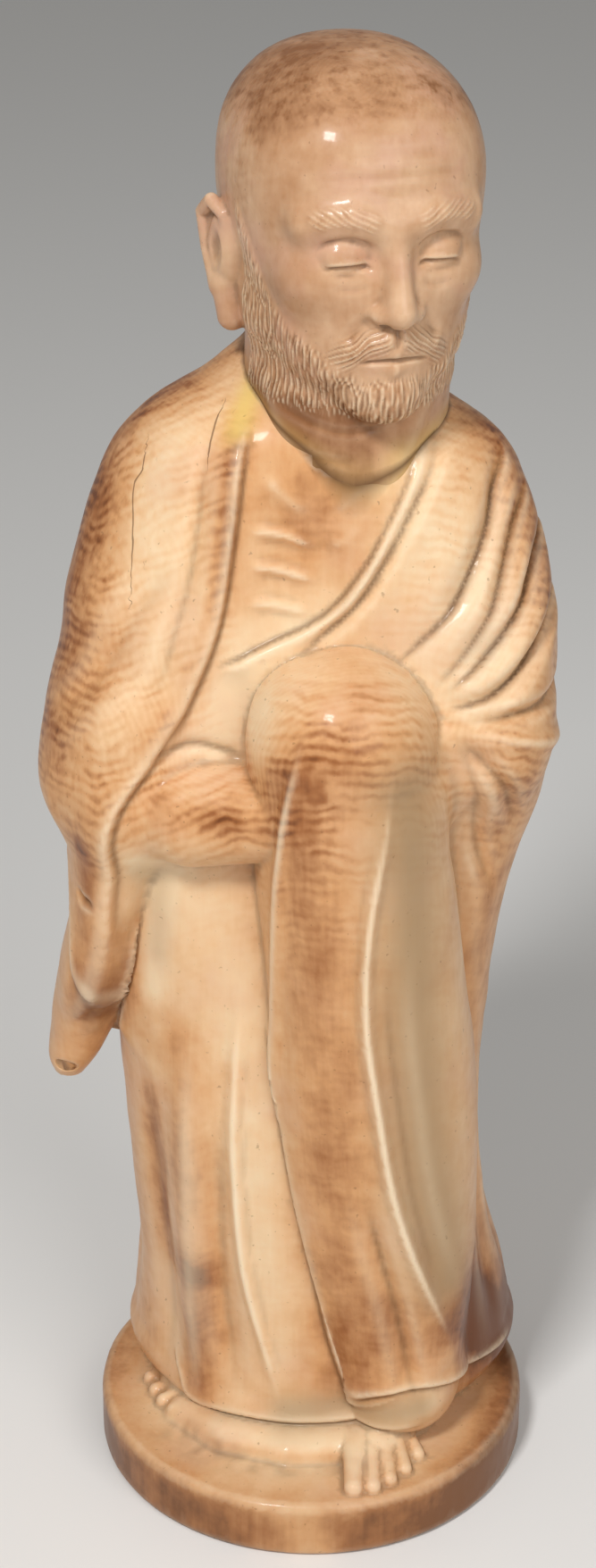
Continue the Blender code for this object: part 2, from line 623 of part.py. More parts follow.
def make_head():
    bm = bmesh.new()
    for centre, radii, _ in SKULL:
        add_ball_blank(bm, centre, radii)
    for side in (-1, 1):
        for (x, y, z), radii, _ in PAIRED_BALLS + [NOSTRIL, EYE]:
            add_ball_blank(bm, (side * x, y, z), radii)
        for points, _ in PAIRED_LIMBS:
            add_limb_blank(bm, [(side * x, y, z, radius) for x, y, z, radius in points])
    for points in (NOSE, BEARD, UPPER_LIP, LOWER_LIP):
        add_limb_blank(bm, points)
    place = head_turn().to_4x4()
    place.translation = HEAD_CENTRE
    bmesh.ops.transform(bm, matrix=place, verts=bm.verts)
    head = link("head", bm)
    fuse(head, HEAD_GRAIN / SHARE)
    carve(head, head_distance, no_relief)
    q = to_head(read_points(head.data))
    face_and_ears = ((q[:, 1] < -9.0) & (q[:, 2] < 6.0)) | (np.abs(q[:, 0]) > 14.2)
    to_size(head)
    thin(head, HEAD_TRIANGLES, face_and_ears, FACE_WEIGHT)
    combine(head, make_neck("neck_foot", 0.0), "UNION")
    head.data.materials.append(ivory("rosy_ivory", (0.62, 0.36, 0.22)))


remove_all()
make_body()
make_head()
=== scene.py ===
import math

import bpy
import numpy as np
from mathutils import Matrix, Vector, noise


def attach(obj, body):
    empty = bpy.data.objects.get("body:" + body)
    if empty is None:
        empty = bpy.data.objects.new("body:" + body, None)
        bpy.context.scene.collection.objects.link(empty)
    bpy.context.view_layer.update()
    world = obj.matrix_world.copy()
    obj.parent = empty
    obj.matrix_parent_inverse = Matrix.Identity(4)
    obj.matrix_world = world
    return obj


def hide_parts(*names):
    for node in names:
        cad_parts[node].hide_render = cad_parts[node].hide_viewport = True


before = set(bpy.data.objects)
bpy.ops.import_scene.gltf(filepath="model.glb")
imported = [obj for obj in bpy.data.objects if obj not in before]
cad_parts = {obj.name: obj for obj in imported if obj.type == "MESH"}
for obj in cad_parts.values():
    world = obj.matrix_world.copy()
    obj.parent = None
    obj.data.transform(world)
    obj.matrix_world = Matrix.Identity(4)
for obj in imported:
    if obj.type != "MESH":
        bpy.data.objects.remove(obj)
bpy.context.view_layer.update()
fullTurn = 2 * math.pi
print("frame loaded")


def chooseOnly(item):
    bpy.ops.object.select_all(action="DESELECT")
    item.select_set(True)
    bpy.context.view_layer.objects.active = item


def copyOfNode(nodeName, pieceName):
    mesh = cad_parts[nodeName].data.copy()
    mesh.name = pieceName
    mesh.materials.clear()
    piece = bpy.data.objects.new(pieceName, mesh)
    bpy.context.collection.objects.link(piece)
    chooseOnly(piece)
    bpy.ops.object.mode_set(mode="EDIT")
    bpy.ops.mesh.select_all(action="SELECT")
    bpy.ops.mesh.remove_doubles(threshold=0.000001)
    bpy.ops.object.mode_set(mode="OBJECT")
    return piece


def remesh(piece, grain):
    chooseOnly(piece)
    skin = piece.modifiers.new("skin", "REMESH")
    skin.mode = "VOXEL"
    skin.voxel_size = grain / 1000
    bpy.ops.object.modifier_apply(modifier=skin.name)


def thin(piece, triangles):
    chooseOnly(piece)
    piece.data.calc_loop_triangles()
    share = triangles / len(piece.data.loop_triangles)
    if share < 1:
        fewer = piece.modifiers.new("fewer", "DECIMATE")
        fewer.ratio = share
        bpy.ops.object.modifier_apply(modifier=fewer.name)
    bpy.ops.object.shade_smooth()


# Points are worked on in millimetres
def readPoints(mesh):
    flat = np.empty(len(mesh.vertices) * 3, dtype=np.float32)
    mesh.vertices.foreach_get("co", flat)
    return flat.reshape(-1, 3).astype(float) * 1000


def writePoints(mesh, points):
    mesh.vertices.foreach_set("co", (points / 1000).astype(np.float32).ravel())
    mesh.update()


def keepPaint(mesh, paint):
    for name, values in paint.items():
        layer = mesh.attributes.new(name, "FLOAT", "POINT")
        layer.data.foreach_set("value", values.astype(np.float32))


def smoothStep(start, end, value):
    t = np.clip((value - start) / (end - start), 0, 1)
    return t * t * (3 - 2 * t)


def grainNoise(points, size):
    # size: one length, or one for each direction
    scaled = points / np.array(size)
    return np.array([noise.noise(point) for point in scaled.tolist()])


def curveAt(height, rows, column):
    knots = np.array([row[0] for row in rows])
    values = np.array([row[column] for row in rows])
    slopes = np.gradient(values, knots)
    at = np.clip(height, knots[0], knots[-1])
    i = np.clip(np.searchsorted(knots, at, side="right") - 1, 0, len(knots) - 2)
    span = knots[i + 1] - knots[i]
    t = (at - knots[i]) / span
    t2, t3 = t * t, t * t * t
    return (values[i] * (2 * t3 - 3 * t2 + 1) + values[i + 1] * (3 * t2 - 2 * t3)
            + slopes[i] * span * (t3 - 2 * t2 + t) + slopes[i + 1] * span * (t3 - t2))


# Distances to the forms, negative inside
def loftDistance(p, rows, power=2.25):
    z = p[:, 2]
    left, right = curveAt(z, rows, 1), curveAt(z, rows, 2)
    front, back = curveAt(z, rows, 3), curveAt(z, rows, 4)
    x = p[:, 0] - (left + right) / 2
    y = p[:, 1] - (front + back) / 2
    wide = np.maximum((right - left) / 2, 0.1)
    deep = np.maximum((back - front) / 2, 0.1)
    wide = wide * (1 + curveAt(z, rows, 5) * np.clip(y / deep, -1, 1))
    far = np.hypot(x, y) + 1e-9
    share = (np.abs(x / wide) ** power + np.abs(y / deep) ** power) ** (1 / power)
    side = far - far / np.maximum(share, 1e-6)
    ends = np.maximum(rows[0][0] - z, z - rows[-1][0])
    return np.maximum(side, ends)


def limbDistance(p, points):
    nearest = np.full(len(p), 1e9)
    for start, end in zip(points, points[1:]):
        a, b = np.array(start[:3]), np.array(end[:3])
        along = b - a
        t = np.clip((p - a) @ along / (along @ along), 0, 1)
        radius = start[3] + (end[3] - start[3]) * t
        gap = np.linalg.norm(p - a - t[:, None] * along, axis=1) - radius
        nearest = np.minimum(nearest, gap)
    return nearest


def ballDistance(p, centre, radii):
    q = (p - np.array(centre)) / np.array(radii)
    size = np.linalg.norm(q, axis=1) + 1e-9
    steep = np.linalg.norm(q / np.array(radii), axis=1) + 1e-9
    return size * (size - 1) / steep


def craniumDistance(p, centre, radii, power=2.3):
    q = np.abs((p - np.array(centre)) / np.array(radii))
    far = np.linalg.norm(p - np.array(centre), axis=1) + 1e-9
    share = (q ** power).sum(axis=1) ** (1 / power)
    return far - far / np.maximum(share, 1e-6)


def roundBarDistance(p, foot, top, radius, rounding):
    # a round bar from foot to top with rounded rims
    a, b = np.array(foot), np.array(top)
    length = np.linalg.norm(b - a)
    along = (b - a) / length
    t = (p - a) @ along
    out = np.linalg.norm(p - a - t[:, None] * along, axis=1) - radius + rounding
    ends = np.maximum(-t, t - length) + rounding
    outside = np.hypot(np.maximum(out, 0), np.maximum(ends, 0))
    return outside + np.minimum(np.maximum(out, ends), 0) - rounding


def join(a, b, blend):
    h = np.clip(0.5 + 0.5 * (a - b) / blend, 0, 1)
    return a * (1 - h) + b * h - blend * h * (1 - h)


def cut(a, b, blend):
    return -join(-a, b, blend)


def withBalls(d, p, balls, how=join):
    for centre, radii, blend in balls:
        d = how(d, ballDistance(p, centre, radii), blend)
    return d


def withLimbs(d, p, limbs):
    for blend, points in limbs:
        d = join(d, limbDistance(p, points), blend)
    return d


# Carving: the skin's points are drawn onto the form, then raised by the relief
carving = {
    "relax": 0.4, "longestStep": 1.2, "leastSlope": 0.2,
    "evenTurns": 3, "evenRelax": 0.7,
    # hollows get painted shade with grime, and rubbed edges get painted highlight with wear
    "hollowDirtAndShade": (4, 0.2, 0.8), "rubbedEdgeAndHighlight": (3, 0.2, 0.5),    # strength, threshold, most
    "sharp": 0.3,                # half width of an edge's step
    "edgeFade": 0.12, "lineFade": 0.3,                           # share of the length that runs out
    # edges, grooves and ridges: painted shade with grime at edges' feet and down grooves, painted highlight
    # with wear on edges' tops, groove lips and ridges
    "edgeDirtAndShade": (0.5, -0.25, 0.35), "edgeWearAndHighlight": (0.5, 0.7, 0.5),         # amount, place, width
    "grooveDirtAndShade": (0.55, 0.3), "ridgeWearAndHighlight": (0.7, 0.4),          # amount, width as a share of the line's
    "grooveWearAndHighlight": (0.25, 1.3, 0.5),                              # amount, place and width as shares
    "deepGroove": 1.2, "wideGroove": 1.5, "highRidge": 1.0,
}


def slopeOf(distance, p, here, step=0.03):
    out = np.empty_like(p)
    for axis in range(3):
        moved = p.copy()
        moved[:, axis] += step
        out[:, axis] = (distance(moved) - here) / step
    return out


def relaxed(p, edges, amount):
    total = np.zeros_like(p)
    count = np.bincount(edges.ravel(), minlength=len(p)).astype(float)
    for a, b in ((0, 1), (1, 0)):
        for axis in range(3):
            total[:, axis] += np.bincount(edges[:, a], p[edges[:, b], axis], len(p))
    return p + amount * (total / count[:, None] - p)


def above(value, strength, threshold, most):
    return np.clip(value * strength - threshold, 0, most)


def carve(mesh, distance, finish, grain, passes=4):
    edges = np.empty(len(mesh.edges) * 2, dtype=np.int32)
    mesh.edges.foreach_get("vertices", edges)
    edges = edges.reshape(-1, 2)
    p = readPoints(mesh)
    longest = carving["longestStep"]
    for turn in range(passes):
        if turn < passes - 1:
            p = relaxed(p, edges, carving["relax"])
        here = distance(p)
        lean = slopeOf(distance, p, here)
        steep = np.maximum((lean ** 2).sum(axis=1), carving["leastSlope"])
        p = p - np.clip(here / steep, -longest, longest)[:, None] * lean
    lean = slopeOf(distance, p, distance(p))
    lean /= np.linalg.norm(lean, axis=1)[:, None] + 1e-9
    rise, paint = finish(p, lean)
    carved = p + rise[:, None] * lean
    writePoints(mesh, carved)
    # creases are darkened with painted shade and grime, and edges are rubbed pale with painted highlight
    # and wear
    even = carved
    for turn in range(carving["evenTurns"]):
        even = relaxed(even, edges, carving["evenRelax"])
    hollow = ((even - carved) * lean).sum(axis=1) / grain
    paint["shade"] = paint["shade"] + above(hollow, *carving["hollowDirtAndShade"])
    paint["pale"] = paint["pale"] + above(-hollow, *carving["rubbedEdgeAndHighlight"])
    keepPaint(mesh, paint)


# Lines on a surface: paths in (across, up), smoothed by Catmull-Rom
def smoothPath(points, steps=4):
    q = np.array(points, dtype=float)
    q = np.vstack([2 * q[0] - q[1], q, 2 * q[-1] - q[-2]])
    out = []
    for a, b, c, d in zip(q, q[1:], q[2:], q[3:]):
        for t in np.arange(steps) / steps:
            linear = 2 * b + (c - a) * t
            curved = (2 * a - 5 * b + 4 * c - d) * t ** 2 + (3 * b - a - 3 * c + d) * t ** 3
            out.append(0.5 * (linear + curved))
    return np.array(out + [q[-2]])


def alongPath(u, v, pathU, pathV):
    best = np.full(len(u), 1e9)
    side, share = np.zeros(len(u)), np.zeros(len(u))
    count = len(pathV) - 1
    for i in range(count):
        du, dv = pathU[i + 1] - pathU[i], pathV[i + 1] - pathV[i]
        across, up = u - pathU[i], v - pathV[i]
        t = np.clip((across * du + up * dv) / (du * du + dv * dv + 1e-9), 0, 1)
        gap = np.hypot(across - t * du, up - t * dv)
        closer = gap < best
        best = np.where(closer, gap, best)
        side = np.where(closer, dv * across - du * up, side)
        share = np.where(closer, (i + t) / count, share)
    return best * np.sign(side), share


def lineOn(bearing, up, reach, points, width, leastReach=14):
    # which points lie near the line, their signed distance in mm, and the share of its length
    path = smoothPath(points)
    middle = path[:, 0].mean()
    around = (bearing - middle + 180) % 360 - 180
    margin = width * 3 + 1
    half = np.abs(path[:, 0] - middle).max() + np.degrees(margin / leastReach)
    near = np.flatnonzero((np.abs(around) < half) & (up > path[:, 1].min() - margin)
                          & (up < path[:, 1].max() + margin))
    scale = np.radians(reach[near])
    pathU = [(b - middle) * scale for b in path[:, 0]]
    distance, share = alongPath(around[near] * scale, up[near], pathU, path[:, 1])
    return near, distance, share


def endFade(share, portion):
    return smoothStep(0, portion, np.minimum(share, 1 - share))


def mark(d, amount, place, width):
    return amount * np.exp(-((d - place) / width) ** 2)


def foldsOver(bearing, up, reach, folds):
    rise, shade, pale = (np.zeros(len(up)) for _ in range(3))
    for height, width, points in folds["edges"]:
        near, d, share = lineOn(bearing, up, reach, points, width)
        fade = endFade(share, carving["edgeFade"])
        step = 0.5 * (1 + np.tanh(d / carving["sharp"]))
        rise[near] += height * step * np.exp(-np.maximum(d, 0) / width) * fade
        # painted shade with grime at the edge's foot, painted highlight with wear along its top
        shade[near] += mark(d, *carving["edgeDirtAndShade"]) * fade
        pale[near] += mark(d, *carving["edgeWearAndHighlight"]) * fade
    for height, width, points in folds["grooves"]:
        near, d, share = lineOn(bearing, up, reach, points, width)
        fade = endFade(share, carving["lineFade"])
        rise[near] -= height * np.exp(-(d / width) ** 2) * fade
        # painted shade with grime down the groove
        amount, narrow = carving["grooveDirtAndShade"]
        amount *= min(height, carving["deepGroove"]) * min(1.0, carving["wideGroove"] / width)
        shade[near] += mark(d, amount, 0, narrow * width) * fade
        # painted highlight with wear on the groove's lips
        amount, beside, narrow = carving["grooveWearAndHighlight"]
        pale[near] += mark(np.abs(d), amount, beside * width, narrow * width) * fade
    for height, width, points in folds["ridges"]:
        near, d, share = lineOn(bearing, up, reach, points, width)
        fade = endFade(share, carving["lineFade"])
        rise[near] += height * np.exp(-(d / width) ** 2) * fade
        # painted highlight with wear along the ridge
        amount, narrow = carving["ridgeWearAndHighlight"]
        pale[near] += mark(d, amount * min(height, carving["highRidge"]), 0, narrow * width) * fade
    return rise, shade, pale


def brushOver(bearing, up, reach, strokes):
    # strokes: strength, half width in mm, path
    amount = np.zeros(len(up))
    for strength, width, points in strokes:
        near, d = lineOn(bearing, up, reach, points, width)[:2]
        amount[near] += mark(d, strength, 0, width)
    return amount


def finishPiece(piece, settings, material):
    piece.data.materials.append(material)
    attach(piece, "root")
    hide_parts(settings["node"])
    print(settings["piece"], "has", len(piece.data.polygons), "faces")


ivory = {                        # the finish of both pieces; scales are in cycles per metre
    "scales": {"streaks": 1100, "clouds": 75, "mottle": 320, "specks": 1500, "grit": 4500,
               "tufts": 900, "rippleWander": 240, "rippleGaps": 200},
    "stretch": {"streaks": 0.1, "tufts": 0.6},                   # along the grain
    "ringUnit": 0.314,           # the wave texture's scale for rings one metre apart
    "spans": {                   # noise or distance at which each starts and is full
        "ripples": (-0.8, 1.0), "rippleGaps": (-0.15, 0.10), "tufts": (0.0, 0.25),
        "specks": (0.22, 0.3), "rosy": (0.0, 0.16), "rosyOnStain": (0.8, 0.45), "crack": (0.14, 0.05),
    },
    "cover": {"grey": 0.9, "glue": 0.8, "specks": 0.35, "seam": 0.85, "crack": 0.7},
    "relief": {"bands": 0.5, "streaks": 0.12, "ripples": -0.15, "grit": 0.10, "crack": -0.8},
    "reliefDepth": 0.0002,
    # roughness also rises where painted shade and grime lie
    "mottledRoughness": 0.18, "dirtAndShadeRoughness": 0.12,
    "shader": {"Coat Roughness": 0.09, "IOR": 1.54, "Specular IOR Level": 0.12,
               "Subsurface Weight": 0.12, "Subsurface Radius": (1.0, 0.5, 0.25),
               "Subsurface Scale": 0.0015},
}


def makeIvory(name, look):
    material = bpy.data.materials.new(name)
    material.use_nodes = True
    tree = material.node_tree
    nodes, links = tree.nodes, tree.links
    shader = nodes["Principled BSDF"]
    scales, spans, cover, relief = (ivory[key] for key in ("scales", "spans", "cover", "relief"))

    def put(socket, value):
        if isinstance(value, bpy.types.NodeSocket):
            links.new(value, socket)
        else:
            socket.default_value = value

    def compute(operation, a, b=0.0, clamp=False):
        node = nodes.new("ShaderNodeMath")
        node.operation = operation
        node.use_clamp = clamp
        put(node.inputs[0], a)
        put(node.inputs[1], b)
        return node.outputs[0]

    def times(a, b, clamp=False):
        return compute("MULTIPLY", a, b, clamp)

    def plus(a, b, clamp=False):
        return compute("ADD", a, b, clamp)

    def mix(amount, a, b):
        node = nodes.new("ShaderNodeMix")
        node.data_type = "RGBA"
        put(node.inputs[0], amount)
        put(node.inputs[6], a)
        put(node.inputs[7], b)
        return node.outputs[2]

    def paint(attribute):
        node = nodes.new("ShaderNodeAttribute")
        node.attribute_name = attribute
        return node.outputs["Fac"]

    def alongGrain(stretch):
        node = nodes.new("ShaderNodeMapping")
        put(node.inputs["Vector"], place)
        node.inputs["Location"].default_value = look["grainCentre"]
        node.inputs["Scale"].default_value = (1, 1, stretch)
        return node.outputs[0]

    def cloud(vector, scale, detail=2.0):
        node = nodes.new("ShaderNodeTexNoise")
        put(node.inputs["Vector"], vector)
        node.inputs["Scale"].default_value = scale
        node.inputs["Detail"].default_value = detail
        return compute("SUBTRACT", node.outputs[0], 0.5)

    def ramp(value, start, end):
        node = nodes.new("ShaderNodeMapRange")
        put(node.inputs["Value"], value)
        node.inputs["From Min"].default_value = start
        node.inputs["From Max"].default_value = end
        return node.outputs[0]

    place = nodes.new("ShaderNodeTexCoord").outputs["Object"]
    rings = nodes.new("ShaderNodeTexWave")
    rings.wave_type = "RINGS"
    rings.rings_direction = "Z"
    put(rings.inputs["Vector"], alongGrain(1))
    rings.inputs["Scale"].default_value = ivory["ringUnit"] / look["ringSpacing"]
    rings.inputs["Distortion"].default_value = look["ringWander"]
    rings.inputs["Detail"].default_value = 2.0
    rings.inputs["Detail Scale"].default_value = look["ringWanderScale"]
    bands = compute("SUBTRACT", rings.outputs[1], 0.5)
    bandAmount = times(paint("bands"), look["bandAmount"])

    # growth layers show as ripples across the painted flow, with gaps
    wander = times(cloud(place, scales["rippleWander"], 3), look["rippleWander"])
    phase = plus(times(paint("flow"), fullTurn / look["rippleSpacing"]), wander)
    ripples = ramp(compute("SINE", phase), *spans["ripples"])
    ripples = times(ripples, ramp(cloud(place, scales["rippleGaps"]), *spans["rippleGaps"]))
    ripples = times(ripples, paint("bands"))
    streaks = cloud(alongGrain(ivory["stretch"]["streaks"]), scales["streaks"])
    clouds = cloud(place, scales["clouds"], 3)
    mottle = cloud(place, scales["mottle"], 3)
    specks = cloud(place, scales["specks"], 1)
    grit = cloud(place, scales["grit"])
    tufts = cloud(alongGrain(ivory["stretch"]["tufts"]), scales["tufts"], 3)
    tufts = times(ramp(tufts, *spans["tufts"]), paint("mottled"))

    stain = paint("stain")
    for layer, amount in ((clouds, look["cloudAmount"]), (tufts, look["tuftAmount"]),
                          (mottle, look["mottleAmount"]), (streaks, look["streakAmount"]),
                          (bands, bandAmount), (ripples, look["rippleAmount"])):
        stain = plus(stain, times(layer, amount))
    colours = nodes.new("ShaderNodeValToRGB")
    put(colours.inputs[0], stain)
    stops = colours.color_ramp.elements
    for index, (at, colour) in enumerate(look["colours"]):
        stop = stops[index] if index < 2 else stops.new(at)
        stop.position = at
        stop.color = (*colour, 1)

    rosy = ramp(cloud(place, look["rosyScale"], 3), *spans["rosy"])
    rosy = times(rosy, ramp(stain, *spans["rosyOnStain"]))
    seam = ramp(compute("ABSOLUTE", paint("seam")), look["seamWidth"], 0.0)
    crack = ramp(compute("ABSOLUTE", paint("crack")), *spans["crack"])
    crack = times(crack, paint("besideCrack"))
    colour = colours.outputs[0]
    # shade is painted shade with grime, pale is painted highlight with wear; specks, the seam and cracks
    # are the ivory's own dark marks
    for layer, amount, tint in (
            (rosy, look["rosyAmount"], "rosy"), (paint("grey"), cover["grey"], "greyTan"),
            (paint("glue"), cover["glue"], "glue"), (paint("pale"), look["paleAmount"], "palest"),
            (paint("shade"), look["shadeAmount"], "dirtAndShade"),
            (ramp(specks, *spans["specks"]), cover["specks"], "dirtAndShade"),
            (seam, cover["seam"], "dirtAndShade"), (crack, cover["crack"], "dirtAndShade")):
        colour = mix(times(layer, amount, True), colour, (*look[tint], 1))
    put(shader.inputs["Base Color"], colour)

    rough = plus(look["roughness"], times(mottle, ivory["mottledRoughness"]))
    rough = plus(rough, times(paint("shade"), ivory["dirtAndShadeRoughness"]), True)
    put(shader.inputs["Roughness"], rough)
    shader.inputs["Coat Weight"].default_value = look["coat"]
    for socket, value in ivory["shader"].items():
        shader.inputs[socket].default_value = value

    height = times(bands, times(bandAmount, relief["bands"]))
    for layer, part in ((streaks, "streaks"), (ripples, "ripples"), (grit, "grit"), (crack, "crack")):
        height = plus(height, times(layer, relief[part]))
    bump = nodes.new("ShaderNodeBump")
    bump.inputs["Strength"].default_value = look["bump"]
    bump.inputs["Distance"].default_value = ivory["reliefDepth"]
    put(bump.inputs["Height"], height)
    put(shader.inputs["Normal"], bump.outputs[0])
    return material


farFromCracks = 2.0              # mm, past which nothing of a crack shows

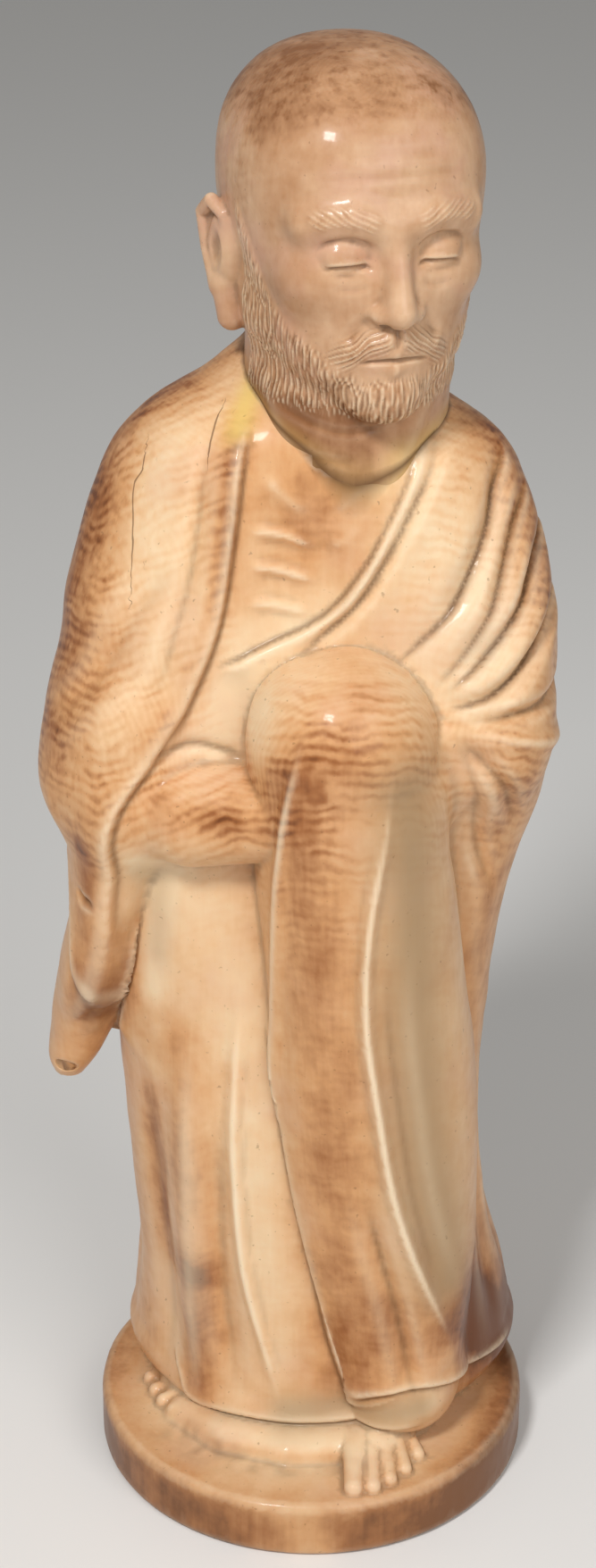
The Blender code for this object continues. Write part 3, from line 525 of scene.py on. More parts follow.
robe = {
    "piece": "robedFigure", "node": "robed_body", "slot": "stained_ivory",
    "grain": 0.45, "triangles": 190000,
    "axis": (0.0, 4.0),          # bearings are taken about it, 0 in front, growing to the figure's left
    "trunk": [                   # height, left, right, front, back, widening towards the back
        (5.0, -24.0, 26.0, -14.6, 24.0, 0.20),
        (9.6, -24.2, 26.2, -14.8, 24.2, 0.20),
        (11.0, -25.2, 28.0, -16.0, 25.0, 0.20),
        (16.0, -24.9, 28.0, -16.3, 25.2, 0.19),
        (23.0, -24.5, 27.0, -16.6, 25.2, 0.17),
        (30.0, -24.3, 25.4, -17.0, 25.0, 0.13),
        (43.0, -25.0, 23.7, -17.6, 25.0, 0.06),
        (66.0, -26.2, 23.4, -18.2, 25.0, 0.0),
        (84.0, -27.3, 25.1, -17.8, 24.8, 0.0),
        (92.0, -28.6, 26.9, -17.2, 24.6, 0.0),
        (102.0, -30.6, 30.1, -16.4, 24.2, 0.0),
        (115.0, -31.6, 30.6, -15.2, 23.6, 0.0),
        (130.0, -29.8, 28.8, -14.2, 22.0, 0.0),
        (142.0, -26.9, 25.8, -13.4, 19.6, 0.0),
        (148.0, -24.0, 22.4, -12.6, 18.0, 0.0),
        (152.0, -20.0, 17.6, -11.2, 16.2, 0.0),
        (156.0, -13.8, 12.0, -7.8, 14.2, 0.0),
        (159.0, -9.6, 9.0, -3.6, 13.4, 0.0),
        (161.5, -6.4, 7.4, 1.0, 12.8, 0.0),
        (163.0, -2.0, 4.0, 5.0, 10.6, 0.0),
    ],
    "kneeAndLeg": [
        (5.0, 5.0, 18.0, -15.6, 2.0, 0.0),
        (9.6, 5.0, 18.0, -15.8, 2.0, 0.0),
        (11.5, 4.4, 19.4, -17.8, 3.0, 0.0),
        (22.0, 2.0, 21.0, -19.4, 4.0, 0.0),
        (35.0, -1.2, 22.0, -21.4, 3.0, 0.0),
        (48.0, -3.4, 22.0, -23.4, 3.0, 0.0),
        (66.0, -5.3, 21.4, -25.6, 3.0, 0.0),
        (84.0, -6.5, 19.4, -27.0, 2.0, 0.0),
        (100.0, -7.4, 17.6, -27.8, 1.0, 0.0),
        (112.0, -7.0, 15.2, -27.4, -4.0, 0.0),
        (119.0, -3.5, 11.0, -23.5, -8.0, 0.0),
        (121.0, 1.0, 6.0, -18.0, -12.0, 0.0),
    ],
    "sleeveTail": [
        (58.2, -35.0, -31.0, -1.0, 4.0, 0.0),
        (60.0, -35.6, -29.8, -2.4, 5.6, 0.0),
        (66.0, -35.2, -26.6, -5.0, 9.0, 0.0),
        (76.0, -33.6, -23.4, -9.0, 12.0, 0.0),
        (86.0, -31.2, -21.0, -12.4, 14.0, 0.0),
        (98.0, -31.2, -17.0, -15.0, 15.0, 0.0),
        (110.0, -33.6, -14.0, -16.0, 15.0, 0.0),
        (120.0, -31.6, -14.0, -15.0, 14.0, 0.0),
        (126.0, -28.0, -18.0, -8.0, 8.0, 0.0),
    ],
    "limbs": [                   # blend, then points with their radius
        (5.0, [(-12.5, 1.0, 142.0, 11.0), (-18.4, -3.0, 127.0, 12.0), (-20.5, -4.8, 113.0, 11.4)]),
        (6.0, [(14.5, 1.0, 141.0, 9.5), (18.4, -4.0, 127.0, 10.8), (19.4, -7.4, 113.0, 10.6)]),
        (3.0, [(-24.0, -5.0, 106.0, 10.4), (-21.0, -9.4, 105.0, 9.0)]),
        (0.8, [(-24.0, -8.0, 104.6, 7.0), (-15.0, -14.4, 104.8, 6.9), (-3.0, -18.6, 106.5, 5.8)]),
        (0.4, [(3.6, -16.2, 115.0, 11.9), (4.2, -15.6, 104.0, 12.0), (5.6, -12.8, 84.0, 11.8)]),
        (1.0, [(8.0, -12.0, 9.6, 4.4), (9.0, -17.6, 8.8, 3.5)]),
        (1.0, [(-14.0, -3.0, 9.0, 3.8), (-18.8, -6.0, 7.9, 2.6)]),
        (0.8, [(-17.6, -9.4, 7.2, 3.4), (-11.6, -14.8, 7.3, 4.0), (-3.0, -17.4, 7.4, 4.2),
               (5.0, -17.0, 8.0, 4.0)]),
    ],
    "blends": {"sleeveTail": 1.5, "kneeAndLeg": 0.5, "toes": 0.3, "sleeveTip": 0.4, "plinth": 0.5},
    "footLevel": 8.5,
    "toeShape": [(1.2, 1.8), (0.7, 1.25), (0.5, 1.0)],   # height and radius of root, knuckle and tip
    "toes": [                    # root, tip, radius of the tip
        ((6.2, -18.0), (5.6, -26.6), 1.3), ((8.0, -17.6), (8.2, -26.2), 1.15),
        ((9.6, -16.8), (10.5, -24.7), 1.1), ((11.0, -15.6), (12.6, -22.5), 1.05),
        ((12.0, -13.8), (14.5, -19.4), 1.0),
        ((-17.5, -0.8), (-22.9, -2.4), 1.0), ((-16.8, -3.4), (-22.0, -5.2), 1.05),
        ((-15.6, -5.6), (-20.8, -7.7), 1.1), ((-14.2, -7.6), (-19.2, -9.9), 1.1),
    ],
    "plinth": {"foot": (0.0, 0.0, 0.0), "top": (0.0, 0.0, 8.5), "radius": 29.92, "rounding": 1.2},
    "neck": {"foot": (3.4, -0.2, 140.0), "seat": (3.66, -0.15, 147.0), "top": (4.4, 0.0, 167.0),
             "radius": 12.1, "rounding": 1.8},
    "seatFilling": (0.5, 2.0),               # how much wider and longer than the seat's hidden part
    "sleeveTip": ((-33.2, -2.6, 61.0), (1.5, 1.3, 1.1)),     # small hollow in the sleeve's end
    "chestHollow": (-6.0, 136.5, 17.0, 10.5, 1.2),   # bearing, height, half width, half height, depth
    "folds": {                   # height, width, path of (bearing, height)
        "edges": [
            (1.5, 7.0, [(-29, 155), (-28, 148), (-29, 140), (-32, 130), (-37, 122), (-43, 113), (-48, 105),
                        (-53, 96), (-58, 85), (-66, 75), (-74, 68)]),
            (1.5, 5.0, [(-34, 123.5), (-20, 126.5), (4, 130.5), (18, 136), (27, 141), (39, 148.5),
                        (50, 155)]),
            (1.2, 5.0, [(16, 15), (13, 18), (6, 27), (0, 39), (-6, 51), (-11, 64), (-16, 80)]),
            (1.1, 4.0, [(92, 13), (72, 14.5), (56, 16.5), (44, 18.6), (36, 19.8), (28, 20), (20, 19),
                        (15, 17)]),
            (0.9, 4.0, [(-73, 66), (-66, 76), (-70, 88), (-80, 97)]),
            (0.8, 3.0, [(36, 13.4), (20, 13.0), (3, 12.4), (-26, 12.0), (-49, 11.4), (-56, 14.5),
                        (-63, 17.6)]),
        ],
        "grooves": [
            (0.7, 1.1, [(-42, 153), (-40, 146), (-40, 136), (-42, 127), (-46, 117)]),
            (0.8, 2.6, [(-44, 138), (-50, 130), (-57, 121), (-68, 114)]),
            (1.1, 0.9, [(-8, 125), (0, 127.3), (13, 131), (23, 135.5), (34, 142.5), (46, 149), (60, 154)]),
            (1.2, 1.1, [(90, 119), (70, 118), (52, 118.4), (39, 118.2)]),
            (1.1, 1.2, [(39, 117), (44, 112.5), (54, 106), (68, 99)]),
            (0.9, 1.3, [(38, 117.5), (41, 112), (47, 105), (56, 96), (66, 88)]),
            (1.2, 2.0, [(33, 119), (37, 112), (44, 101), (50, 89), (56, 77), (68, 62)]),
            (1.1, 2.0, [(17, 95), (17, 82), (20, 69), (25, 54), (32, 42), (41, 31)]),
            (1.2, 1.5, [(13, 56), (17, 46), (23, 35), (28, 25), (33, 15)]),
            (1.0, 2.0, [(-31, 62), (-32, 46), (-33, 28), (-30, 13)]),
            (1.2, 2.8, [(-56, 66), (-60, 44), (-63, 26), (-66, 9)]),
            (0.8, 0.7, [(-64, 92.4), (-61, 91.3), (-57, 91.6)]),
            (0.6, 0.8, [(-44, 112.5), (-38, 114.5), (-30, 113.4), (-23, 112.4)]),
        ],
        "ridges": [
            (0.7, 1.2, [(84, 111), (66, 112.5), (52, 115), (40, 117)]),
            (0.9, 0.9, [(-2, 121), (-5, 113), (-8, 102), (-10, 88), (-11, 70), (-8, 56)]),
            (1.1, 0.9, [(18, 119), (15, 107), (12, 95), (12, 82), (15, 70), (20, 55), (27, 43), (36, 32),
                        (44, 24)]),
            (1.0, 1.0, [(-23, 84), (-25, 68), (-26, 52), (-24, 37), (-17, 23), (-11, 13)]),
            (1.6, 3.0, [(-39, 76), (-41, 54), (-45, 30), (-49, 7)]),
            (0.45, 1.3, [(-1, 143.4), (-8, 144.6), (-15, 146.6), (-21, 148.6)]),
            (0.5, 1.3, [(7, 143.6), (15, 145.2), (26, 148.6)]),
            (0.6, 0.8, [(-26, 141.4), (-12, 140.8), (2, 139.0)]),
            (0.6, 0.8, [(-26, 137.0), (-12, 136.3), (2, 134.8)]),
            (0.5, 0.8, [(-26, 132.4), (-13, 131.9), (0, 130.8)]),
            (0.3, 1.0, [(5, 139.4), (12, 140.4), (20, 142.6)]),
        ],
    },
    "sleeveFolds": [             # of the left sleeve: edge's height and width, groove's, and their path
        ((0.8, 3.0), (1.7, 1.5), [(27, 123.5), (40, 130), (51, 136.5), (60, 141.5), (67, 145.5),
                                  (80, 149)]),
        ((0.6, 3.0), (1.4, 1.6), [(36, 121.5), (46, 127.5), (56, 134), (67, 140), (82, 144)]),
        ((0.8, 3.0), (1.7, 1.4), [(37, 120.6), (50, 126.5), (62, 131.5), (74, 135.5), (92, 138)]),
        ((0.8, 2.5), (1.7, 1.3), [(37, 119), (48, 121), (60, 124.5), (74, 128.5), (92, 129.5)]),
    ],
    "backGrooves": [
        (1.1, 3.0, [(98, 150), (128, 141), (160, 128), (196, 112), (228, 100)]),
        (1.1, 3.0, [(104, 138), (132, 127), (164, 113), (200, 97), (236, 86)]),
        (1.0, 3.2, [(108, 124), (136, 112), (168, 97), (204, 82)]),
        (0.9, 2.8, [(142, 151), (170, 142), (200, 130), (232, 118)]),
        (0.9, 3.2, [(104, 108), (128, 96), (152, 82)]),
    ],
    "pleats": {                  # of the skirt behind, falling from alternate heights and swaying by turns
        "bearings": [78, 102, 124, 149, 171, 193, 215, 240, 262],
        "depth": 1.1, "width": 2.6, "top": 72, "stagger": 6, "middle": 44, "sway": 3, "foot": 12,
    },
    "relief": {
        "neckFade": 3.0, "hem": 9.8, "hemFade": 1.2, "footFade": 1.5,
        "uneven": [(0.10, 6.0), (0.04, (1.6, 1.6, 3.0))],        # depth, size
    },
    "amounts": {                 # of stain, of grey on the plinth's top that partly paints shade on it, and of painted shade in the toes' gaps
        "base": 0.36, "side": 0.20, "rim": 0.40, "plinthTop": -0.22, "wall": 0.20, "leftRim": 0.30,
        "plinthGrey": 0.2, "toeGaps": 0.2,
    },
    "zones": {                   # in mm or degrees, from where each starts to where it is full
        "wall": (8.6, 7.4), "lowWall": (8.4, 6.0), "abovePlinth": (8.2, 9.6), "rim": (22.0, 29.5),
        "side": (42, 80), "leftRim": (22, 50), "toes": (11.5, 10.5), "leaning": (0.35, -0.15),
        "upperRobe": (84, 112), "chestRight": (-32, -26), "chestLeft": (34, 24), "chestUp": (122, 128),
        "forearmUp": (102, 108), "forearmFront": (-14, -17), "sleeves": (92, 112), "sleeveSides": (30, 60),
    },
    "sideCentre": -5, "chestLean": 132,      # bearing between the sides, height where the collar crosses
    # how much the ripples show, and how their lines run over the arms and the knee
    "bands": {"least": 0.15, "upperRobe": 0.85, "plinth": -0.15, "chest": -0.75, "forearm": 0.3},
    "flow": {"deep": 0.4, "arm": -0.45, "armAt": -26, "armReach": 16,
             "knee": 0.15, "kneeAt": 12, "kneeReach": 20},
    "mottled": (0.2, 0.6),       # tufts everywhere, and how many more on the sleeves
    "seamClearance": 0.4, "seamReach": 3,
    "stain": [                   # strength, half width, path
        (0.22, 7.0, [(-88, 150), (-80, 138), (-74, 126), (-68, 114)]),
        (0.13, 6.0, [(-67, 141), (-63, 128), (-57, 118), (-53, 108), (-54, 99)]),
        (0.36, 1.9, [(-33, 153), (-32, 146), (-32, 140), (-33, 134), (-35, 128), (-38, 121), (-42, 115)]),
        (-0.30, 4.0, [(-56, 151), (-52, 143), (-49, 135)]),
        (-0.15, 2.0, [(-46, 129), (-50, 121), (-50, 115)]),
        (0.32, 2.6, [(-58, 100), (-59, 91), (-62, 82), (-68, 72)]),
        (-0.46, 2.2, [(-47, 98), (-50, 88), (-52, 78)]),
        (0.18, 5.0, [(-20, 150), (-12, 146), (-8, 140), (-10, 135)]),
        (0.26, 4.0, [(6, 148), (16, 146), (26, 144), (31, 148)]),
        (0.15, 4.0, [(6, 140), (16, 138)]),
        (-0.38, 5.5, [(-30, 127), (-18, 125), (-6, 129)]),
        (-0.50, 5.0, [(-34, 115), (-29, 119), (-20, 119)]),
        (-0.32, 6.5, [(38, 149), (43, 138), (48, 128)]),
        (-0.24, 3.0, [(26, 125), (34, 123), (40, 119)]),
        (0.12, 4.0, [(43, 117), (49, 110), (57, 103)]),
        (0.22, 4.0, [(80, 149), (75, 140), (70, 130)]),
        (0.12, 5.0, [(62, 104), (60, 90), (57, 74), (52, 56)]),
        (0.24, 7.0, [(-6, 116), (4, 120), (14, 116)]),
        (0.33, 6.0, [(-4, 112), (-2, 98), (3, 84), (6, 70), (7, 56), (9, 42), (12, 30), (14, 20)]),
        (0.34, 3.2, [(-38, 108), (-30, 108), (-22, 107)]),
        (-0.26, 5.0, [(-40, 96), (-32, 88), (-26, 74)]),
        (0.12, 3.0, [(-34, 92), (-31, 78)]),
        (-0.24, 4.0, [(-20, 62), (-16, 42), (-12, 24)]),
        (0.30, 3.6, [(-42, 72), (-41, 58), (-41, 48), (-42, 37)]),
        (0.50, 3.4, [(-42, 34), (-44, 26), (-46, 18), (-47, 12)]),
        (0.32, 2.6, [(-57, 62), (-58, 46), (-58, 34)]),
        (-0.22, 2.5, [(-66, 28), (-63, 18)]),
        # darker lower right: partly stain, partly painted shade
        (0.36, 11.0, [(48, 32), (62, 24), (84, 18), (108, 13), (132, 9)]),
        (0.30, 6.0, [(50, 30), (64, 22), (86, 16)]),
        (0.12, 5.0, [(22, 32), (30, 26)]),
        (-0.30, 2.0, [(-6, 14), (8, 14.5), (22, 15.5), (36, 17)]),
        (-0.46, 2.4, [(-62, 10), (-40, 10), (-14, 10), (10, 10.5), (26, 11)]),
    ],
    "wallStain": [(-0.30, 4.0, [(-4, 9), (-1, 4), (0, -1)]), (0.20, 9.0, [(-60, 4), (-18, 3)]),
                  (0.20, 9.0, [(18, 3), (40, 4)])],
    "smudgedShadow": {                 # painted shadow in smudges on the plinth before the hidden foot
        "stretch": (0.6, 1.2, 1.0), "grain": 1.5, "least": 0.6, "patchy": 1.2,
        "places": [              # place, radius, strength
            ((-18.0, -14.6, 8.8), 2.0, 0.8), ((-14.0, -18.4, 8.6), 2.2, 0.9),
            ((-9.5, -21.0, 8.6), 2.0, 0.7), ((-4.0, -22.4, 8.6), 1.6, 0.6), ((3.4, -22.0, 8.6), 1.4, 0.8),
        ],
    },
    "grey": [
        (1.0, 5.0, [(20, 112), (22, 96), (24, 78), (28, 60), (34, 46), (38, 38)]),
        (0.8, 2.6, [(-10, 14), (6, 15), (20, 16), (32, 17)]),
        (0.4, 2.0, [(-49, 96), (-50, 84)]),
    ],
    "glue": [(1.1, 1.6, [(-40, 158.5), (-36, 155.5), (-33, 153)]),
             (0.5, 2.4, [(34, 153), (27, 149), (18, 148)])],
    "cracks": {
        "width": 1.0, "taper": 0.5, "endShare": 0.2, "beside": (1.6, 0.8),
        "paths": [[(-64, 150.3), (-60, 147.4), (-61, 145.2), (-57, 140.3), (-52, 132.3)],
                  [(-46, 154.9), (-42, 152), (-40, 149)]],
    },
    "look": {
        "colours": [(0.0, (0.80, 0.60, 0.38)), (0.30, (0.75, 0.485, 0.27)), (0.60, (0.62, 0.32, 0.14)),
                    (0.85, (0.34, 0.13, 0.045)), (1.0, (0.17, 0.055, 0.018))],
        "palest": (0.88, 0.72, 0.51), "greyTan": (0.36, 0.235, 0.125), "glue": (0.72, 0.50, 0.16),
        # the darkest brown colours painted shade with grime, specks, the seam and cracks
        "dirtAndShade": (0.12, 0.055, 0.02), "rosy": (0.66, 0.38, 0.24), "rosyAmount": 0.3, "rosyScale": 90,
        "paleAmount": 0.6, "shadeAmount": 0.5, "cloudAmount": 0.42, "mottleAmount": 0.35,
        "streakAmount": 0.15, "tuftAmount": 0.16,
        "rippleSpacing": 1.6, "rippleWander": 12.0, "rippleAmount": 0.16,
        "bandAmount": 0.04, "ringSpacing": 0.0006, "ringWander": 4.5, "ringWanderScale": 0.6,
        "grainCentre": (0.0, -0.006, 0.0), "seamWidth": 0.5,
        "roughness": 0.36, "coat": 0.12, "bump": 0.4,
    },
}


def neckDistance(p, clearance=0.0, foot="foot"):
    neck = robe["neck"]
    return roundBarDistance(p, neck[foot], neck["top"], neck["radius"] + clearance, neck["rounding"])


def toeLimb(toe):
    root, tip, radius = np.array(toe[0]), np.array(toe[1]), toe[2]
    places = (root, (root + tip) / 2, tip)
    return [(*place, robe["footLevel"] + high * radius, thick * radius)
            for place, (high, thick) in zip(places, robe["toeShape"])]


def robeDistance(p):
    blends = robe["blends"]
    d = loftDistance(p, robe["trunk"])
    d = join(d, loftDistance(p, robe["sleeveTail"]), blends["sleeveTail"])
    d = join(d, loftDistance(p, robe["kneeAndLeg"]), blends["kneeAndLeg"])
    d = withLimbs(d, p, robe["limbs"] + [(blends["toes"], toeLimb(toe)) for toe in robe["toes"]])
    d = cut(d, ballDistance(p, *robe["sleeveTip"]), blends["sleeveTip"])
    plinth = robe["plinth"]
    disc = roundBarDistance(p, plinth["foot"], plinth["top"], plinth["radius"], plinth["rounding"])
    return np.maximum(join(d, disc, blends["plinth"]), -neckDistance(p, foot="seat"))


def skirtPleats():
    pleats = robe["pleats"]
    rows = []
    for turn, bearing in enumerate(pleats["bearings"]):
        top = (bearing, pleats["top"] - pleats["stagger"] * (turn % 2))
        middle = (bearing + pleats["sway"] * (-1) ** turn, pleats["middle"])
        rows.append((pleats["depth"], pleats["width"], [top, middle, (bearing - 1, pleats["foot"])]))
    return rows


def cracksOver(bearing, up, reach):
    # signed distance to the nearest crack in mm, growing at the cracks' ends
    cracks = robe["cracks"]
    crack = np.full(len(up), farFromCracks)
    for path in cracks["paths"]:
        near, d, share = lineOn(bearing, up, reach, path, cracks["width"])
        d = np.sign(d) * (np.abs(d) + cracks["taper"] * (1 - endFade(share, cracks["endShare"])))
        crack[near] = np.where(np.abs(d) < np.abs(crack[near]), d, crack[near])
    return crack


def finishRobe(p, lean):
    x, y, z = p.T
    relief, amounts, zones = robe["relief"], robe["amounts"], robe["zones"]
    bearing = np.degrees(np.arctan2(x - robe["axis"][0], robe["axis"][1] - y))
    reach = np.hypot(x - robe["axis"][0], y - robe["axis"][1])
    folds = {kind: list(rows) for kind, rows in robe["folds"].items()}
    folds["edges"] += [(*edge, path) for edge, groove, path in robe["sleeveFolds"]]
    folds["grooves"] += [(*groove, path) for edge, groove, path in robe["sleeveFolds"]]
    folds["grooves"] += robe["backGrooves"] + skirtPleats()
    rise, shade, pale = foldsOver(bearing, z, reach, folds)
    middle, height, halfWide, halfHigh, depth = robe["chestHollow"]
    rise -= depth * np.exp(-(((bearing - middle) / halfWide) ** 4) - ((z - height) / halfHigh) ** 4)
    rise *= smoothStep(0.0, relief["neckFade"], neckDistance(p))
    onRobe = np.clip((z - relief["hem"]) / relief["hemFade"], 0, 1)
    rise, pale, shade = rise * onRobe, pale * onRobe, shade * onRobe
    uneven = sum(depth * grainNoise(p, size) for depth, size in relief["uneven"])
    rise += smoothStep(0.0, relief["footFade"], z) * uneven

    # stain: cream in the hollows, darker at the rim and the plinth's wall, and darker at the sides, partly
    # stain and partly painted shade where the robe turns from the light
    onPlinth = 1 - smoothStep(*zones["abovePlinth"], z)
    rim = smoothStep(*zones["rim"], np.hypot(x, y))
    lowWall = smoothStep(*zones["lowWall"], z)
    # darker towards the sides: partly stain, partly painted shade
    side = smoothStep(*zones["side"], np.abs(bearing - robe["sideCentre"]))
    stain = amounts["base"] + brushOver(bearing, z, reach, robe["stain"]) * onRobe
    stain += brushOver(bearing, z, reach, robe["wallStain"]) * smoothStep(*zones["wall"], z)
    stain += onPlinth * (amounts["rim"] * rim + amounts["plinthTop"] + amounts["wall"] * lowWall)
    stain += amounts["side"] * side
    stain += amounts["leftRim"] * onPlinth * smoothStep(*zones["leftRim"], bearing) * rim
    # grey dulls the plinth's top: partly painted shade on the lit top
    grey = brushOver(bearing, z, reach, robe["grey"]) * onRobe + amounts["plinthGrey"] * onPlinth
    glue = brushOver(bearing, z, reach, robe["glue"])

    crack = cracksOver(bearing, z, reach)
    besideCrack = smoothStep(*robe["cracks"]["beside"], np.abs(crack))
    # painted shadow along the front of the hidden foot, smudged
    smudgedShadow = robe["smudgedShadow"]
    patchy = smudgedShadow["least"] + smudgedShadow["patchy"] * grainNoise(p, smudgedShadow["grain"])
    for centre, radius, amount in smudgedShadow["places"]:
        gap = np.linalg.norm((p - np.array(centre)) * smudgedShadow["stretch"], axis=1)
        shade += mark(gap, amount, 0, radius) * patchy
    # painted shade under and between the toes
    toeGaps = smoothStep(*zones["toes"], z) * smoothStep(*zones["leaning"], lean[:, 2])
    shade += amounts["toeGaps"] * toeGaps * (np.abs(bearing) < 90) * onRobe

    # ripples: strong above the skirt, faint on the chest and the plinth
    strength = robe["bands"]
    bands = strength["least"] + strength["upperRobe"] * smoothStep(*zones["upperRobe"], z)
    bands += strength["plinth"] * onPlinth
    chest = smoothStep(*zones["chestRight"], bearing) * smoothStep(*zones["chestUp"], z)
    chest *= smoothStep(*zones["chestLeft"], bearing - (z - robe["chestLean"]))
    forearm = smoothStep(*zones["forearmUp"], z) * smoothStep(*zones["forearmFront"], y)
    bands += strength["chest"] * chest + strength["forearm"] * forearm
    # they cross the arms and the knee, rising on both sides of the right arm
    flow = robe["flow"]
    lift = flow["arm"] * np.clip(np.abs(x - flow["armAt"]), 0, flow["armReach"])
    lift += flow["knee"] * np.clip(x - flow["kneeAt"], 0, flow["kneeReach"])
    least, more = robe["mottled"]
    mottled = smoothStep(*zones["sleeves"], z) * smoothStep(*zones["sleeveSides"], np.abs(bearing))
    seam = np.clip(neckDistance(p, robe["seamClearance"]), -robe["seamReach"], robe["seamReach"])
    return rise, {"stain": stain, "grey": grey, "glue": glue, "pale": pale, "shade": shade,
                  "crack": crack, "besideCrack": besideCrack, "bands": bands,
                  "flow": z + flow["deep"] * y + lift, "seam": seam, "mottled": least + more * mottled}


def makeRobe():
    piece = copyOfNode(robe["node"], robe["piece"])
    # the hidden lower part of the neck's seat is filled
    neck = robe["neck"]
    foot, seat = Vector(neck["foot"]) / 1000, Vector(neck["seat"]) / 1000
    wider, longer = (extra / 1000 for extra in robe["seatFilling"])
    bpy.ops.object.select_all(action="DESELECT")
    bpy.ops.mesh.primitive_cylinder_add(vertices=64, radius=neck["radius"] / 1000 + wider,
                                        depth=(seat - foot).length + longer, location=(foot + seat) / 2,
                                        rotation=(seat - foot).to_track_quat("Z", "Y").to_euler())
    bpy.context.object.select_set(True)
    piece.select_set(True)
    bpy.context.view_layer.objects.active = piece
    bpy.ops.object.join()
    grain = robe["grain"] * 1
    remesh(piece, grain)
    carve(piece.data, robeDistance, finishRobe, grain)
    thin(piece, robe["triangles"])
    return piece


